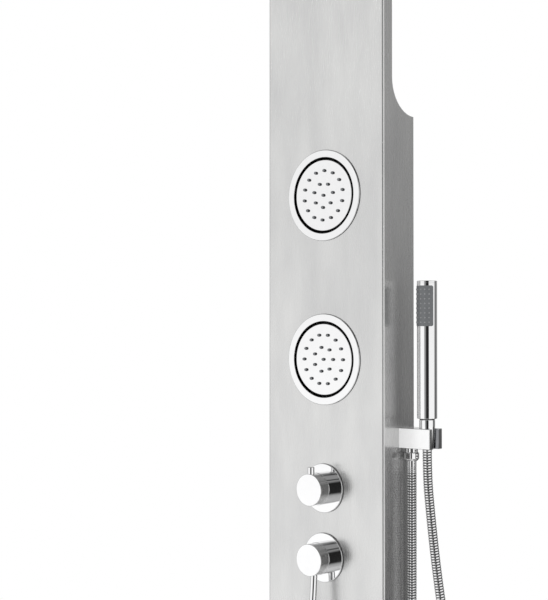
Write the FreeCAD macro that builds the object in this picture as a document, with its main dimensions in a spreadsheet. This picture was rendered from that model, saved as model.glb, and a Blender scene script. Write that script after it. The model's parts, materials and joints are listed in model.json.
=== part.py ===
"""A wall-hung shower panel column: folded steel casing with two swivelling body jets, a
diverter knob, a mixing valve with a lever, a hand shower on a ribbed hose and a rain head.

Frame, in millimetres: X to the right seen from the front, Y towards the wall, Z up. The
origin lies on the wall face, midway between the two screws of the upper wall bracket.
"""
import FreeCAD
import Part
import math
import os
import Sketcher

DOC = FreeCAD.newDocument("shower_column")
SHEET = DOC.addObject("Spreadsheet::Sheet", "Dims")
V = FreeCAD.Vector
PIECES = []

# ---------------------------------------------------------------- driving dimensions
# name: (millimetres, what it is)
DRIVING = {
    # casing
    "panel_width": (220, "width of the casing"),
    "case_depth": (75, "depth of the casing from the wall to its front face"),
    "neck_depth": (22, "depth of the slim upper part and of the overhead arm"),
    "skin": (1.5, "sheet thickness"),
    "fold_radius": (3.5, "outer radius of the long folds"),
    "case_drop": (900, "from the upper wall screws down to the bottom edge"),
    "step_start": (21, "where the concave step of the side walls leaves the wall"),
    "column_rise": (500, "from the upper wall screws up to the top of the arm"),
    "arm_bend": (110, "front radius of the bend from the neck into the arm"),
    "arm_reach": (470, "from the wall to the front end of the arm"),
    "cover_play": (0.2, "side play of the rear cover and the bottom cap"),
    "cap_height": (20, "height of the bottom cap's upturned walls"),
    "bar_width": (16, "width of the spacer bars in the neck"),
    "bar_height": (3, "thickness of the spacer bars"),
    "bar_above_step": (14, "middle of the lower spacer bar above the step"),
    "bar_below_bend": (10, "middle of the upper spacer bar below the bend"),
    "screw_radius": (2, "shank of the casing screws"),
    "screw_head": (3.6, "head radius of the casing screws"),
    "head_height": (1.8, "head height of the casing screws"),
    "cover_screw_out": (66, "screws of the rear cover from the middle"),
    "cover_shank": (8, "length of the rear cover's screws"),
    "cap_shank": (6, "length of the bottom cap's screws"),
    # wall hanging
    "bracket_inset": (13.5, "ends of a wall bracket from the side walls"),
    "bracket_plate": (2.5, "plate of the wall brackets and hook bars"),
    "screw_pitch": (150, "distance between the two wall screws of a bracket"),
    "wall_hole": (3.25, "radius of the holes for the wall screws"),
    "bracket_low": (12, "wall flange below the screw line"),
    "bracket_lip": (14, "top of the bracket's lip above the screw line"),
    "bracket_web": (6, "top of the bracket's web above the screw line"),
    "lip_offset": (6, "gap between the wall and the lip"),
    "hang_play": (0.3, "play between bracket and hook bar"),
    "lower_bracket": (60, "lower screw line above the bottom edge"),
    # body jets
    "jet_drop": (94, "upper jet below the upper wall screws"),
    "jet_pitch": (245, "distance between the two jets"),
    "jet_ring": (68, "outer radius of a trim ring"),
    "jet_band": (11, "width of a trim ring's face"),
    "jet_proud": (2.2, "how far a trim ring stands out of the casing"),
    "jet_sleeve": (2, "wall of the sleeve behind the trim ring"),
    "sleeve_length": (24, "length of that sleeve behind the front face"),
    "jet_gap": (4, "gap between a trim ring and its spray disc"),
    "disc_sink": (0.9, "spray disc behind the ring's face"),
    "disc_height": (8, "thickness of the spray disc"),
    "disc_plate": (2, "front plate of the spray disc"),
    "ball_radius": (10, "radius of the jet's ball"),
    "ball_setback": (18, "ball centre behind the disc's face"),
    "seat_wall": (4, "thickness of the seat ring round the ball"),
    "seat_half": (4.5, "half width of the seat ring"),
    "ball_play": (0.3, "play round the ball and the seat ring"),
    "ball_neck": (6.5, "radius of the ball's neck"),
    "spin_play": (0.1, "radial play of the disc on the neck"),
    "nozzle_base": (2.5, "radius of a nozzle where it leaves the disc"),
    "nozzle_proud": (2, "how far a nozzle stands out"),
    "nozzle_ring": (18.2, "radius of the inner circle of nozzles"),
    "nozzle_margin": (16.1, "outer circle of nozzles from the disc's edge"),
    "housing_clear": (24, "distance from the wall to the back of a jet housing"),
    "boss_radius": (12, "radius of the inlet boss behind a jet housing"),
    "barb_reach": (22, "how far the hose barbs reach out of that boss"),
    "barb_grip": (14, "length of hose pushed over a barb"),
    # valves
    "knob_drop": (530.5, "diverter axis below the upper wall screws"),
    "knob_pitch": (103, "distance between the diverter and the mixer"),
    "plate_radius": (36.5, "radius of an escutcheon"),
    "plate_height": (3.2, "thickness of an escutcheon"),
    "collar_step": (0.5, "how much wider the collar is than its knob"),
    "collar_end": (18.5, "collar's front edge in front of the casing"),
    "knob_radius": (23.5, "radius of a knob"),
    "knob_front": (36.5, "knob's face in front of the casing"),
    "knob_gap": (0.3, "running gap between knob and collar"),
    "knob_wall": (2.4, "wall of a knob"),
    "pin_radius": (4.5, "radius of the knobs' pins"),
    "pin_setback": (5.8, "diverter pin behind the knob's face"),
    "pin_reach": (33.5, "diverter pin's tip from the knob's axis"),
    "lever_setback": (12.6, "lever behind the knob's face, where it leaves the knob"),
    "lever_reach": (92, "lever's tip from the knob's axis"),
    "lever_lean": (4.4, "outward lean of the lever in degrees"),
    "valve_radius": (24, "radius of a valve body"),
    "tube_radius": (17, "radius of the valve's threaded tube"),
    "bush_radius": (13, "radius of a cartridge"),
    "stem_radius": (5, "radius of a valve stem"),
    "port_radius": (10, "outer radius of the valve ports"),
    "port_reach": (38, "ports' ends from the valve axis"),
    "valve_plane": (46, "distance from the wall to the ports' axes"),
    # pipes
    "pipe_radius": (6, "outer radius of the inner hoses and pipes"),
    "pipe_bore": (4.2, "bore radius of the inner hoses and pipes"),
    "inlet_spread": (75, "hot and cold inlets from the centre"),
    "inlet_height": (116.5, "inlet unions above the bottom edge"),
    "union_bore": (9.3, "bore radius of the half-inch union nuts"),
    "union_length": (12, "length of the union nuts"),
    "union_corner": (15, "corner radius of the union nuts"),
    "flange_radius": (11.5, "radius of the pipe's flange on top of a union nut"),
    "flange_height": (2, "height of that flange"),
    "hose_inset": (20.5, "rain head hose from the left side wall"),
    # holder and hand shower
    "holder_top": (437.8, "top of the holder block below the upper wall screws"),
    "holder_height": (29.5, "height of the holder block"),
    "holder_reach": (54, "how far the holder block stands out of the side wall"),
    "holder_front": (37.3, "distance from the wall to the block's front"),
    "holder_depth": (32, "depth of the block"),
    "holder_round": (1, "rounded edges of the block"),
    "cone_out": (39.8, "hand shower axis from the side wall"),
    "cone_plane": (22.6, "distance from the wall to the hand shower's axis"),
    "slot_width": (17, "width of the slot that lets the hose in"),
    "outlet_out": (12.6, "outlet axis from the side wall"),
    "spigot_reach": (18, "how far the block's spigot reaches into the casing"),
    "holder_nut": (7, "thickness of the nut on that spigot"),
    "cone_top": (423.5, "top of the conical nut below the upper wall screws"),
    "cone_length": (44.5, "length of the conical nut"),
    "cone_radius": (11.6, "top radius of the conical nut"),
    "cone_end": (9.2, "bottom radius of the conical nut"),
    "cone_straight": (11, "straight top stretch of the conical nut"),
    "cone_play": (0.3, "gap between the conical nut and its socket"),
    "wand_radius": (14.75, "radius of the hand shower"),
    "wand_length": (200, "length of the hand shower above its nut"),
    "wand_wall": (1.6, "wall of the hand shower"),
    "wand_thread": (8.2, "radius of the hand shower's threaded end"),
    "pad_drop": (7, "top of the nozzle pad below the hand shower's end"),
    "pad_height": (59, "height of the nozzle pad"),
    "pad_half_turn": (72.7, "half of the angle that the pad covers, in degrees"),
    "pad_proud": (0.5, "how far the pad stands out"),
    "pad_nozzle": (1.4, "radius of a nozzle of the pad"),
    # hose
    "hose_radius": (7, "outer radius of the shower hose"),
    "hose_root": (6.3, "radius of the hose between its ribs"),
    "hose_bore": (4.2, "bore radius of the hose"),
    "nut_radius": (11.6, "radius of the hose nut under the holder"),
    "nut_top": (473.2, "top of that nut below the upper wall screws"),
    "nut_height": (12.6, "height of that nut"),
    "nut_thread": (8.6, "depth of that nut's thread"),
    "crimp_radius": (6.8, "radius of the crimp sleeve"),
    "crimp_height": (18, "height of the crimp sleeve"),
    # rain head
    "rain_margin": (10, "rain head's trim ring from the sides of the arm"),
    "rain_front": (30, "rain head's trim ring from the end of the arm"),
    "rain_band": (10, "width of that ring's face"),
    "rain_proud": (3, "how far that ring stands out below the arm"),
    "rain_gap": (1.5, "gap between that ring and the spray plate"),
}
HOSE_RIBS = 190
JET_NOZZLES = (7, 14)
JET_TURNS = {"upper": -10, "lower": 0}
RAIN_NOZZLES = (8, 16, 24, 32)
PAD_COLUMNS = 5
PAD_ROWS = 8
PAD_COLUMN_ANGLE = 23
PAD_ROW_PITCH = 6.8
OVERRUN = 5  # how far a cutting tool reaches past a face
SLIP = 0.1  # radial play of what slides in a bore
SNUG = 0.05  # radial play of what turns or screws in a bore
SKIM = 0.5  # overlap of two solids that are joined into one
EDGE = 0.6  # broken edges of the turned chrome parts


class Size:
    """A size that carries its number and the sheet formula that it comes from."""

    def __init__(self, number, formula):
        self.number = number
        self.formula = formula

    def __add__(self, other):
        return Size(self.number + number(other), f"({self.formula} + {formula(other)})")

    def __sub__(self, other):
        return Size(self.number - number(other), f"({self.formula} - {formula(other)})")

    def __mul__(self, other):
        return Size(self.number * number(other), f"({self.formula} * {formula(other)})")

    def __truediv__(self, other):
        return Size(self.number / number(other), f"({self.formula} / {formula(other)})")

    def __neg__(self):
        return Size(-self.number, f"(0 - {self.formula})")

    def __radd__(self, other):
        return self + other

    def __rmul__(self, other):
        return self * other


def number(size):
    return size.number if isinstance(size, Size) else float(size)


def formula(size):
    return size.formula if isinstance(size, Size) else f"({float(size)!r})"


def fill_sheet():
    """Write the driving dimensions into the sheet and return them as sizes."""
    sizes = {}
    for row, (name, (value, meaning)) in enumerate(DRIVING.items(), start=1):
        SHEET.set(f"A{row}", str(value))
        SHEET.setAlias(f"A{row}", name)
        SHEET.set(f"B{row}", meaning)
        sizes[name] = Size(float(value), f"Dims.{name}")
    DOC.recompute()
    return sizes


class Named:
    """The driving dimensions as attributes."""

    def __init__(self, sizes):
        self.__dict__.update(sizes)


D = Named(fill_sheet())
ZERO = Size(0.0, "0")

# ---------------------------------------------------------------- building blocks
TURN = {
    "x": FreeCAD.Rotation(V(0, 1, 0), 90),
    "y": FreeCAD.Rotation(V(1, 0, 0), -90),
    "z": FreeCAD.Rotation(),
}


def place(shape, axis, along, first, second):
    """Stand a shape's own Z along an axis. first and second are its two other places."""
    spots = {
        "x": (along, first, second),
        "y": (first, along, second),
        "z": (first, second, along),
    }[axis]
    shape.Placement = FreeCAD.Placement(V(*[number(s) for s in spots]), TURN[axis])
    for letter, spot in zip("xyz", spots):
        shape.setExpression(f"Placement.Base.{letter}", formula(spot))
    return shape


def set_sizes(shape, **sizes):
    for field, size in sizes.items():
        setattr(shape, field, number(size))
        shape.setExpression(field, formula(size))
    return shape


def brick(x0, x1, y0, y1, z0, z1):
    shape = DOC.addObject("Part::Box", "Brick")
    set_sizes(shape, Length=ZERO + x1 - x0, Width=ZERO + y1 - y0, Height=ZERO + z1 - z0)
    return place(shape, "z", z0, x0, y0)


def rod(axis, radius, start, end, first, second):
    shape = DOC.addObject("Part::Cylinder", "Rod")
    set_sizes(shape, Radius=radius, Height=ZERO + end - start)
    return place(shape, axis, start, first, second)


def taper(axis, start_radius, end_radius, start, end, first, second):
    shape = DOC.addObject("Part::Cone", "Taper")
    height = ZERO + end - start
    set_sizes(shape, Radius1=start_radius, Radius2=end_radius, Height=height)
    return place(shape, axis, start, first, second)


def globe(radius, x, y, z):
    shape = DOC.addObject("Part::Sphere", "Globe")
    set_sizes(shape, Radius=radius)
    return place(shape, "z", z, x, y)


def hexagon(axis, corner_radius, start, end, first, second):
    shape = DOC.addObject("Part::Prism", "Hexagon")
    shape.Polygon = 6
    set_sizes(shape, Circumradius=corner_radius, Height=ZERO + end - start)
    return place(shape, axis, start, first, second)


def fuse(*shapes):
    if len(shapes) == 1:
        return shapes[0]
    joined = DOC.addObject("Part::MultiFuse", "Joined")
    joined.Shapes = list(shapes)
    return joined


def cut(base, *tools):
    result = DOC.addObject("Part::Cut", "Cut")
    result.Base = base
    result.Tool = fuse(*tools)
    return result


def common(first, second):
    result = DOC.addObject("Part::Common", "Shared")
    result.Base = first
    result.Tool = second
    return result


def group(*shapes):
    result = DOC.addObject("Part::Compound", "Group")
    result.Links = list(shapes)
    return result


def pipe(axis, radius, bore, start, end, first, second):
    inner = rod(axis, bore, ZERO + start - OVERRUN, ZERO + end + OVERRUN, first, second)
    return cut(rod(axis, radius, start, end, first, second), inner)


def piece(name, shape):
    """Name a finished sub-part. Its name is its file's name."""
    shape.Label = name
    PIECES.append(shape)
    return shape


def plane(body, role):
    return next(f for f in body.Origin.OriginFeatures if f.Role == role)


def new_sketch(body, role):
    sketch = body.newObject("Sketcher::SketchObject", "Outline")
    sketch.AttachmentSupport = [(plane(body, role), "")]
    sketch.MapMode = "FlatFace"
    return sketch


def tie(sketch, kind, *where_and_size):
    *where, size = where_and_size
    constraint = Sketcher.Constraint(kind, *where, number(size))
    index = sketch.addConstraint(constraint)
    if isinstance(size, Size):
        sketch.setExpression(f"Constraints[{index}]", size.formula)


def draw(body, role, corners):
    """A closed outline. A corner is (u, v), or (u, v, centre, radius) where an arc leaves it."""
    sketch = new_sketch(body, role)
    ends = []
    for here, there in zip(corners, corners[1:] + corners[:1]):
        a = V(number(here[0]), number(here[1]), 0)
        b = V(number(there[0]), number(there[1]), 0)
        if len(here) == 2:
            edge = sketch.addGeometry(Part.LineSegment(a, b), False)
            ends.append((edge, 1, 2))
            continue
        centre = V(number(here[2][0]), number(here[2][1]), 0)
        start, end = (math.atan2((p - centre).y, (p - centre).x) for p in (a, b))
        forward = (end - start) % math.tau <= math.pi
        if not forward:
            start, end = end, start
        circle = Part.Circle(centre, V(0, 0, 1), number(here[3]))
        edge = sketch.addGeometry(Part.ArcOfCircle(circle, start, end), False)
        ends.append((edge, 1, 2) if forward else (edge, 2, 1))
        tie(sketch, "Radius", edge, here[3])
    for (edge, _, end), (after, start, _) in zip(ends, ends[1:] + ends[:1]):
        sketch.addConstraint(Sketcher.Constraint("Coincident", edge, end, after, start))
    for (edge, start, _), corner in zip(ends, corners):
        tie(sketch, "DistanceX", -1, 1, edge, start, corner[0])
        tie(sketch, "DistanceY", -1, 1, edge, start, corner[1])
    DOC.recompute()
    return sketch


def turned(axis, first, second, outline):
    """A turned solid. outline holds (radius, place along the axis) corners."""
    body = DOC.addObject("PartDesign::Body", "Turned")
    sketch = draw(body, "XZ_Plane", outline)
    spin = body.newObject("PartDesign::Revolution", "Spin")
    spin.Profile = sketch
    spin.ReferenceAxis = (sketch, ["V_Axis"])
    spin.Angle = 360
    place(body, axis, 0, first, second)
    return body


def swept(outline, width):
    """A side outline in the YZ plane, as wide as width about the middle."""
    body = DOC.addObject("PartDesign::Body", "Swept")
    sketch = draw(body, "YZ_Plane", outline)
    pad = body.newObject("PartDesign::Pad", "Pad")
    pad.Profile = sketch
    pad.SideType = "Symmetric"
    set_sizes(pad, Length=width)
    DOC.recompute()
    return body


def round_edges(shape, radius, wanted):
    """Round the edges of a shape that wanted() picks."""
    DOC.recompute()
    picked = [i for i, edge in enumerate(shape.Shape.Edges, start=1) if wanted(edge)]
    rounded = DOC.addObject("Part::Fillet", "Rounded")
    rounded.Base = shape
    rounded.Edges = [(i, number(radius), number(radius)) for i in picked]
    return rounded


def bent_path(points, radii):
    """Straight runs joined by tangent arcs, one radius for each inner point."""
    edges = []
    last = points[0]
    for before, corner, after, radius in zip(points, points[1:], points[2:], radii):
        into = (corner - before).normalize()
        out = (after - corner).normalize()
        half = into.getAngle(out) / 2
        reach = radius * math.tan(half)
        start, end = corner - into * reach, corner + out * reach
        inward = (out - into).normalize()
        middle = corner + inward * (radius / math.cos(half) - radius)
        edges.append(Part.LineSegment(last, start).toShape())
        edges.append(Part.Arc(start, middle, end).toShape())
        last = end
    edges.append(Part.LineSegment(last, points[-1]).toShape())
    return Part.Wire(edges)


def free_radii(points):
    """The largest arcs that a free hose's runs allow."""
    radii = []
    for before, corner, after in zip(points, points[1:], points[2:]):
        into, out = corner - before, after - corner
        half = into.getAngle(out) / 2
        radii.append(0.45 * min(into.Length, out.Length) / math.tan(half))
    return radii


def along(path, radius):
    """A solid tube along a path."""
    start = path.Edges[0].valueAt(path.Edges[0].FirstParameter)
    heading = path.Edges[0].tangentAt(path.Edges[0].FirstParameter)
    ring = Part.Wire([Part.makeCircle(radius, start, heading)])
    return path.makePipeShell([ring], True, False)


def hose(points, radii):
    """A plain inner hose or pipe with its bore."""
    path = bent_path([V(*[number(c) for c in p]) for p in points], radii)
    shape = along(path, D.pipe_radius.number).cut(along(path, D.pipe_bore.number))
    feature = DOC.addObject("Part::Feature", "Pipe")
    feature.Shape = shape
    return feature


# ---------------------------------------------------------------- shared places
FRONT = -D.case_depth
NECK_BACK = FRONT + D.neck_depth
STEP_RADIUS = D.case_depth - D.neck_depth
STEP_TOP = D.step_start + STEP_RADIUS
BOTTOM = -D.case_drop
ARM_UNDER = D.column_rise - D.neck_depth
BEND_START = ARM_UNDER - D.arm_bend
BEND_CENTRE = FRONT - D.arm_bend
ARM_END = -D.arm_reach
SIDE = D.panel_width / 2
INSIDE = SIDE - D.skin
JETS = {"upper": -D.jet_drop, "lower": -D.jet_drop - D.jet_pitch}
KNOBS = {"diverter": -D.knob_drop, "mixer": -D.knob_drop - D.knob_pitch}
PORTS = -D.valve_plane
RAIN_RING = SIDE - D.rain_margin
RAIN_BORE = RAIN_RING - D.rain_band
RAIN_PLATE = RAIN_BORE - D.rain_gap
RAIN_Y = ARM_END + D.rain_front + RAIN_RING
NECK_MIDDLE = FRONT + D.neck_depth / 2
ARM_MIDDLE = ARM_UNDER + D.neck_depth / 2
JET_BORE = D.jet_ring - D.jet_band
JET_DISC = JET_BORE - D.jet_gap
NOZZLE_RIM = JET_DISC - D.nozzle_margin
SLEEVE_OUT = JET_BORE + D.jet_sleeve
SEAT_RADIUS = D.ball_radius + D.seat_wall
COLLAR_RADIUS = D.knob_radius + D.collar_step
JET_FACE = FRONT - D.jet_proud
DISC_FACE = JET_FACE + D.disc_sink
DISC_BACK = DISC_FACE + D.disc_height
BALL_Y = DISC_FACE + D.ball_setback
HOUSING_BACK = -D.housing_clear
CONE_X = SIDE + D.cone_out
CONE_Y = -D.cone_plane
OUTLET_X = SIDE + D.outlet_out
HOLDER_TOP = -D.holder_top
HOLDER_BOTTOM = HOLDER_TOP - D.holder_height
HOLDER_MIDDLE = HOLDER_TOP - D.holder_height / 2
HOLDER_FRONT = -D.holder_front
CONE_TOP = -D.cone_top
CONE_BOTTOM = CONE_TOP - D.cone_length
WAND_TOP = CONE_TOP + D.wand_length
NUT_TOP = -D.nut_top
CRIMP_END = NUT_TOP - D.nut_height - D.crimp_height
BARB_Y = HOUSING_BACK + D.pipe_radius + D.skin
BARB_REACH = D.boss_radius + D.barb_reach
BARB_RADIUS = D.pipe_bore - SLIP
RAIN_BARB_Y = RAIN_Y + RAIN_BORE
BARB_END = 18  # how far the rain head's barb reaches behind its housing
BAR_LEVELS = (STEP_TOP + D.bar_above_step, BEND_START - D.bar_below_bend)
CAP_SCREW_Y = -D.case_depth / 2
CAP_SCREW_Z = BOTTOM + D.cap_height / 2
SPIGOT = D.stem_radius * 2
SPIGOT_END = INSIDE - D.spigot_reach
NIPPLE = 9 + ZERO  # radius of the half-inch thread under the holder
NUT_SEAT = NUT_TOP - D.nut_thread
WATERWAY = 3  # radius of the bores through a jet's ball
BARB_BORE = 2.6  # bore radius of the hose barbs
NOZZLE_TAPER = -8  # degrees
VALVE_NUT = 5  # wall of the nuts that clamp the escutcheons
MAT = 1.2  # thickness of the rubber mats that the nozzles stand on


# ---------------------------------------------------------------- casing
def front_hole(radius, z):
    """A tool for a round hole in the front sheet, a little wider than what passes it."""
    return rod("y", radius + D.cover_play, FRONT - OVERRUN, FRONT + OVERRUN, 0, z)


def signed(sign, size):
    return size if sign > 0 else -size


def casing():
    outside = [
        (ZERO, BOTTOM),
        (ZERO, D.step_start, (ZERO, STEP_TOP), STEP_RADIUS),
        (NECK_BACK, STEP_TOP),
        (NECK_BACK, BEND_START, (BEND_CENTRE, BEND_START), D.arm_bend + D.neck_depth),
        (BEND_CENTRE, D.column_rise),
        (ARM_END, D.column_rise),
        (ARM_END, ARM_UNDER),
        (BEND_CENTRE, ARM_UNDER, (BEND_CENTRE, BEND_START), D.arm_bend),
        (FRONT, BEND_START),
        (FRONT, BOTTOM),
    ]
    behind = ZERO + OVERRUN
    over_top = D.column_rise + OVERRUN
    hollow = [
        (behind, BOTTOM - OVERRUN),
        (behind, over_top),
        (ARM_END + D.skin, over_top),
        (ARM_END + D.skin, ARM_UNDER + D.skin),
        (
            BEND_CENTRE,
            ARM_UNDER + D.skin,
            (BEND_CENTRE, BEND_START),
            D.arm_bend + D.skin,
        ),
        (FRONT + D.skin, BEND_START),
        (FRONT + D.skin, BOTTOM - OVERRUN),
    ]

    def on_fold(edge, half_width, offset):
        """Is this one of the long edges where the front meets a side wall?"""
        box = edge.BoundBox
        if box.XLength > 0.01 or abs(abs(box.Center.x) - half_width) > 0.01:
            return False
        middle = edge.valueAt((edge.FirstParameter + edge.LastParameter) / 2)
        bend = V(0, BEND_CENTRE.number, BEND_START.number)
        if middle.z <= BEND_START.number:
            return abs(middle.y - FRONT.number - offset) < 0.01
        if middle.y <= BEND_CENTRE.number:
            return abs(middle.z - ARM_UNDER.number - offset) < 0.01 and box.YLength > 50
        to_bend = V(0, middle.y, middle.z) - bend
        return abs(to_bend.Length - D.arm_bend.number - offset) < 0.01

    block = round_edges(
        swept(outside, D.panel_width),
        D.fold_radius,
        lambda edge: on_fold(edge, SIDE.number, 0),
    )
    core = round_edges(
        swept(hollow, D.panel_width - D.skin * 2),
        D.fold_radius - D.skin,
        lambda edge: on_fold(edge, INSIDE.number, D.skin.number),
    )
    openings = [front_hole(SLEEVE_OUT, z) for z in JETS.values()]
    openings += [front_hole(D.tube_radius, z) for z in KNOBS.values()]
    openings.append(
        rod("z", RAIN_BORE + D.jet_sleeve + D.cover_play, ARM_UNDER - OVERRUN,
            ARM_UNDER + OVERRUN, 0, RAIN_Y)
    )
    openings.append(
        rod("x", SPIGOT + D.cover_play, INSIDE - OVERRUN, SIDE + OVERRUN,
            CONE_Y, HOLDER_MIDDLE)
    )
    openings.append(
        rod("x", D.screw_radius + D.cover_play, -SIDE - OVERRUN, SIDE + OVERRUN,
            CAP_SCREW_Y, CAP_SCREW_Z)
    )
    piece("casing", cut(block, core, *openings))


def rear_cover():
    """One long sheet that closes the step, the neck, the bend and the arm from behind."""
    bend = (BEND_CENTRE, BEND_START)
    step = (ZERO, STEP_TOP)
    outline = [
        (ZERO, D.step_start, step, STEP_RADIUS),
        (NECK_BACK, STEP_TOP),
        (NECK_BACK, BEND_START, bend, D.arm_bend + D.neck_depth),
        (BEND_CENTRE, D.column_rise),
        (ARM_END + D.skin + D.cover_play, D.column_rise),
        (ARM_END + D.skin + D.cover_play, D.column_rise - D.skin),
        (
            BEND_CENTRE,
            D.column_rise - D.skin,
            bend,
            D.arm_bend + D.neck_depth - D.skin,
        ),
        (NECK_BACK - D.skin, BEND_START),
        (NECK_BACK - D.skin, STEP_TOP, step, STEP_RADIUS + D.skin),
        (ZERO, D.step_start - D.skin),
    ]
    sheet = swept(outline, (INSIDE - D.cover_play) * 2)
    front, back = NECK_BACK - OVERRUN, NECK_BACK + OVERRUN
    holes = [
        rod("y", D.screw_radius + D.cover_play, front, back, x, z)
        for x, z in cover_screw_spots()
    ]
    piece("rear_cover", cut(sheet, *holes))


def cover_screw_spots():
    """X and Z of the four screws that hold the rear cover."""
    out = D.cover_screw_out
    return [(signed(sign, out), z) for z in BAR_LEVELS for sign in (-1, 1)]


def spacer_bars():
    """Bars welded across the neck, between the front sheet and the rear cover."""
    back = NECK_BACK - D.skin
    front = back - D.bar_height
    half = D.bar_width / 2
    bars = [brick(-INSIDE, INSIDE, front, back, z - half, z + half) for z in BAR_LEVELS]
    holes = [
        rod("y", D.screw_radius + SNUG, front - OVERRUN, NECK_BACK, x, z)
        for x, z in cover_screw_spots()
    ]
    piece("spacer_bars", cut(group(*bars), *holes))


def casing_screws():
    screws = []
    for x, z in cover_screw_spots():
        shank = rod("y", D.screw_radius, NECK_BACK - D.cover_shank, NECK_BACK, x, z)
        head = rod("y", D.screw_head, NECK_BACK, NECK_BACK + D.head_height, x, z)
        screws.append(fuse(shank, head))
    y, z = CAP_SCREW_Y, CAP_SCREW_Z
    left = fuse(
        rod("x", D.screw_radius, -SIDE, -SIDE + D.cap_shank, y, z),
        rod("x", D.screw_head, -SIDE - D.head_height, -SIDE, y, z),
    )
    right = fuse(
        rod("x", D.screw_radius, SIDE - D.cap_shank, SIDE, y, z),
        rod("x", D.screw_head, SIDE, SIDE + D.head_height, y, z),
    )
    piece("casing_screws", group(*screws, left, right))


def bottom_cap():
    half = INSIDE - D.cover_play
    front = FRONT + D.skin + D.cover_play
    tray = brick(-half, half, front, 0, BOTTOM, BOTTOM + D.cap_height)
    hollow = brick(
        -half + D.skin, half - D.skin, front + D.skin, ZERO + OVERRUN,
        BOTTOM + D.skin, BOTTOM + D.cap_height + OVERRUN,
    )
    holes = rod("x", D.screw_radius + SNUG, -SIDE, SIDE, CAP_SCREW_Y, CAP_SCREW_Z)
    corners = round_edges(
        tray,
        D.fold_radius - D.skin,
        lambda e: e.BoundBox.ZLength > 1 and abs(e.BoundBox.Center.y - number(front)) < 0.1,
    )
    piece("bottom_cap", cut(corners, hollow, holes))


# ---------------------------------------------------------------- wall hanging
def wall_bracket(name, z):
    """A strip screwed to the wall, with a lip that stands off it."""
    plate = D.bracket_plate
    outline = [
        (ZERO, z - D.bracket_low),
        (ZERO, z + D.bracket_web),
        (-D.lip_offset, z + D.bracket_web),
        (-D.lip_offset, z + D.bracket_lip),
        (-D.lip_offset - plate, z + D.bracket_lip),
        (-D.lip_offset - plate, z + D.bracket_web - plate),
        (-plate, z + D.bracket_web - plate),
        (-plate, z - D.bracket_low),
    ]
    holes = [
        rod("y", D.wall_hole, -plate - OVERRUN, OVERRUN, signed(sign, D.screw_pitch / 2), z)
        for sign in (-1, 1)
    ]
    length = (INSIDE - D.bracket_inset) * 2
    piece(name, cut(swept(outline, length), *holes))


def hook_bar(name, z):
    """A bar welded between the side walls, hooked over the bracket's lip."""
    plate, play = D.bracket_plate, D.hang_play
    face = -D.lip_offset - plate - play
    top = z + D.bracket_lip + play
    tongue = -D.lip_offset + play
    outline = [
        (face, z - D.bracket_low),
        (face, top),
        (tongue, top),
        (tongue, z + D.bracket_web + play),
        (tongue + plate, z + D.bracket_web + play),
        (tongue + plate, top + plate),
        (face - plate, top + plate),
        (face - plate, z - D.bracket_low),
    ]
    piece(name, swept(outline, INSIDE * 2))


# ---------------------------------------------------------------- body jets
def patterned(body, sketch_z, radius, count, size, length, pocket, taper_angle=0, turn=0):
    """A ring of round pads or pockets on a turned body, about its own axis."""
    sketch = new_sketch(body, "XY_Plane")
    sketch.AttachmentOffset = FreeCAD.Placement(V(0, 0, number(sketch_z)), FreeCAD.Rotation())
    sketch.setExpression("AttachmentOffset.Base.z", formula(sketch_z))
    spot = Part.Circle(V(number(radius), 0, 0), V(0, 0, 1), number(size))
    spot.rotate(FreeCAD.Placement(V(), V(0, 0, 1), turn))
    edge = sketch.addGeometry(spot, False)
    tie(sketch, "Radius", edge, size)
    tie(sketch, "DistanceX", -1, 1, edge, 3, radius * math.cos(math.radians(turn)))
    tie(sketch, "DistanceY", -1, 1, edge, 3, radius * math.sin(math.radians(turn)))
    DOC.recompute()
    kind = "PartDesign::Pocket" if pocket else "PartDesign::Pad"
    feature = body.newObject(kind, "Spot")
    feature.Profile = sketch
    set_sizes(feature, Length=length)
    feature.Reversed = not pocket
    if taper_angle:
        feature.TaperAngle = taper_angle
    DOC.recompute()
    if count > 1:
        ring = body.newObject("PartDesign::PolarPattern", "Ring")
        ring.Originals = [feature]
        ring.Axis = (sketch, ["N_Axis"])
        ring.Angle = 360
        ring.Occurrences = count
        body.Tip = ring
        DOC.recompute()
    return body


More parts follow.
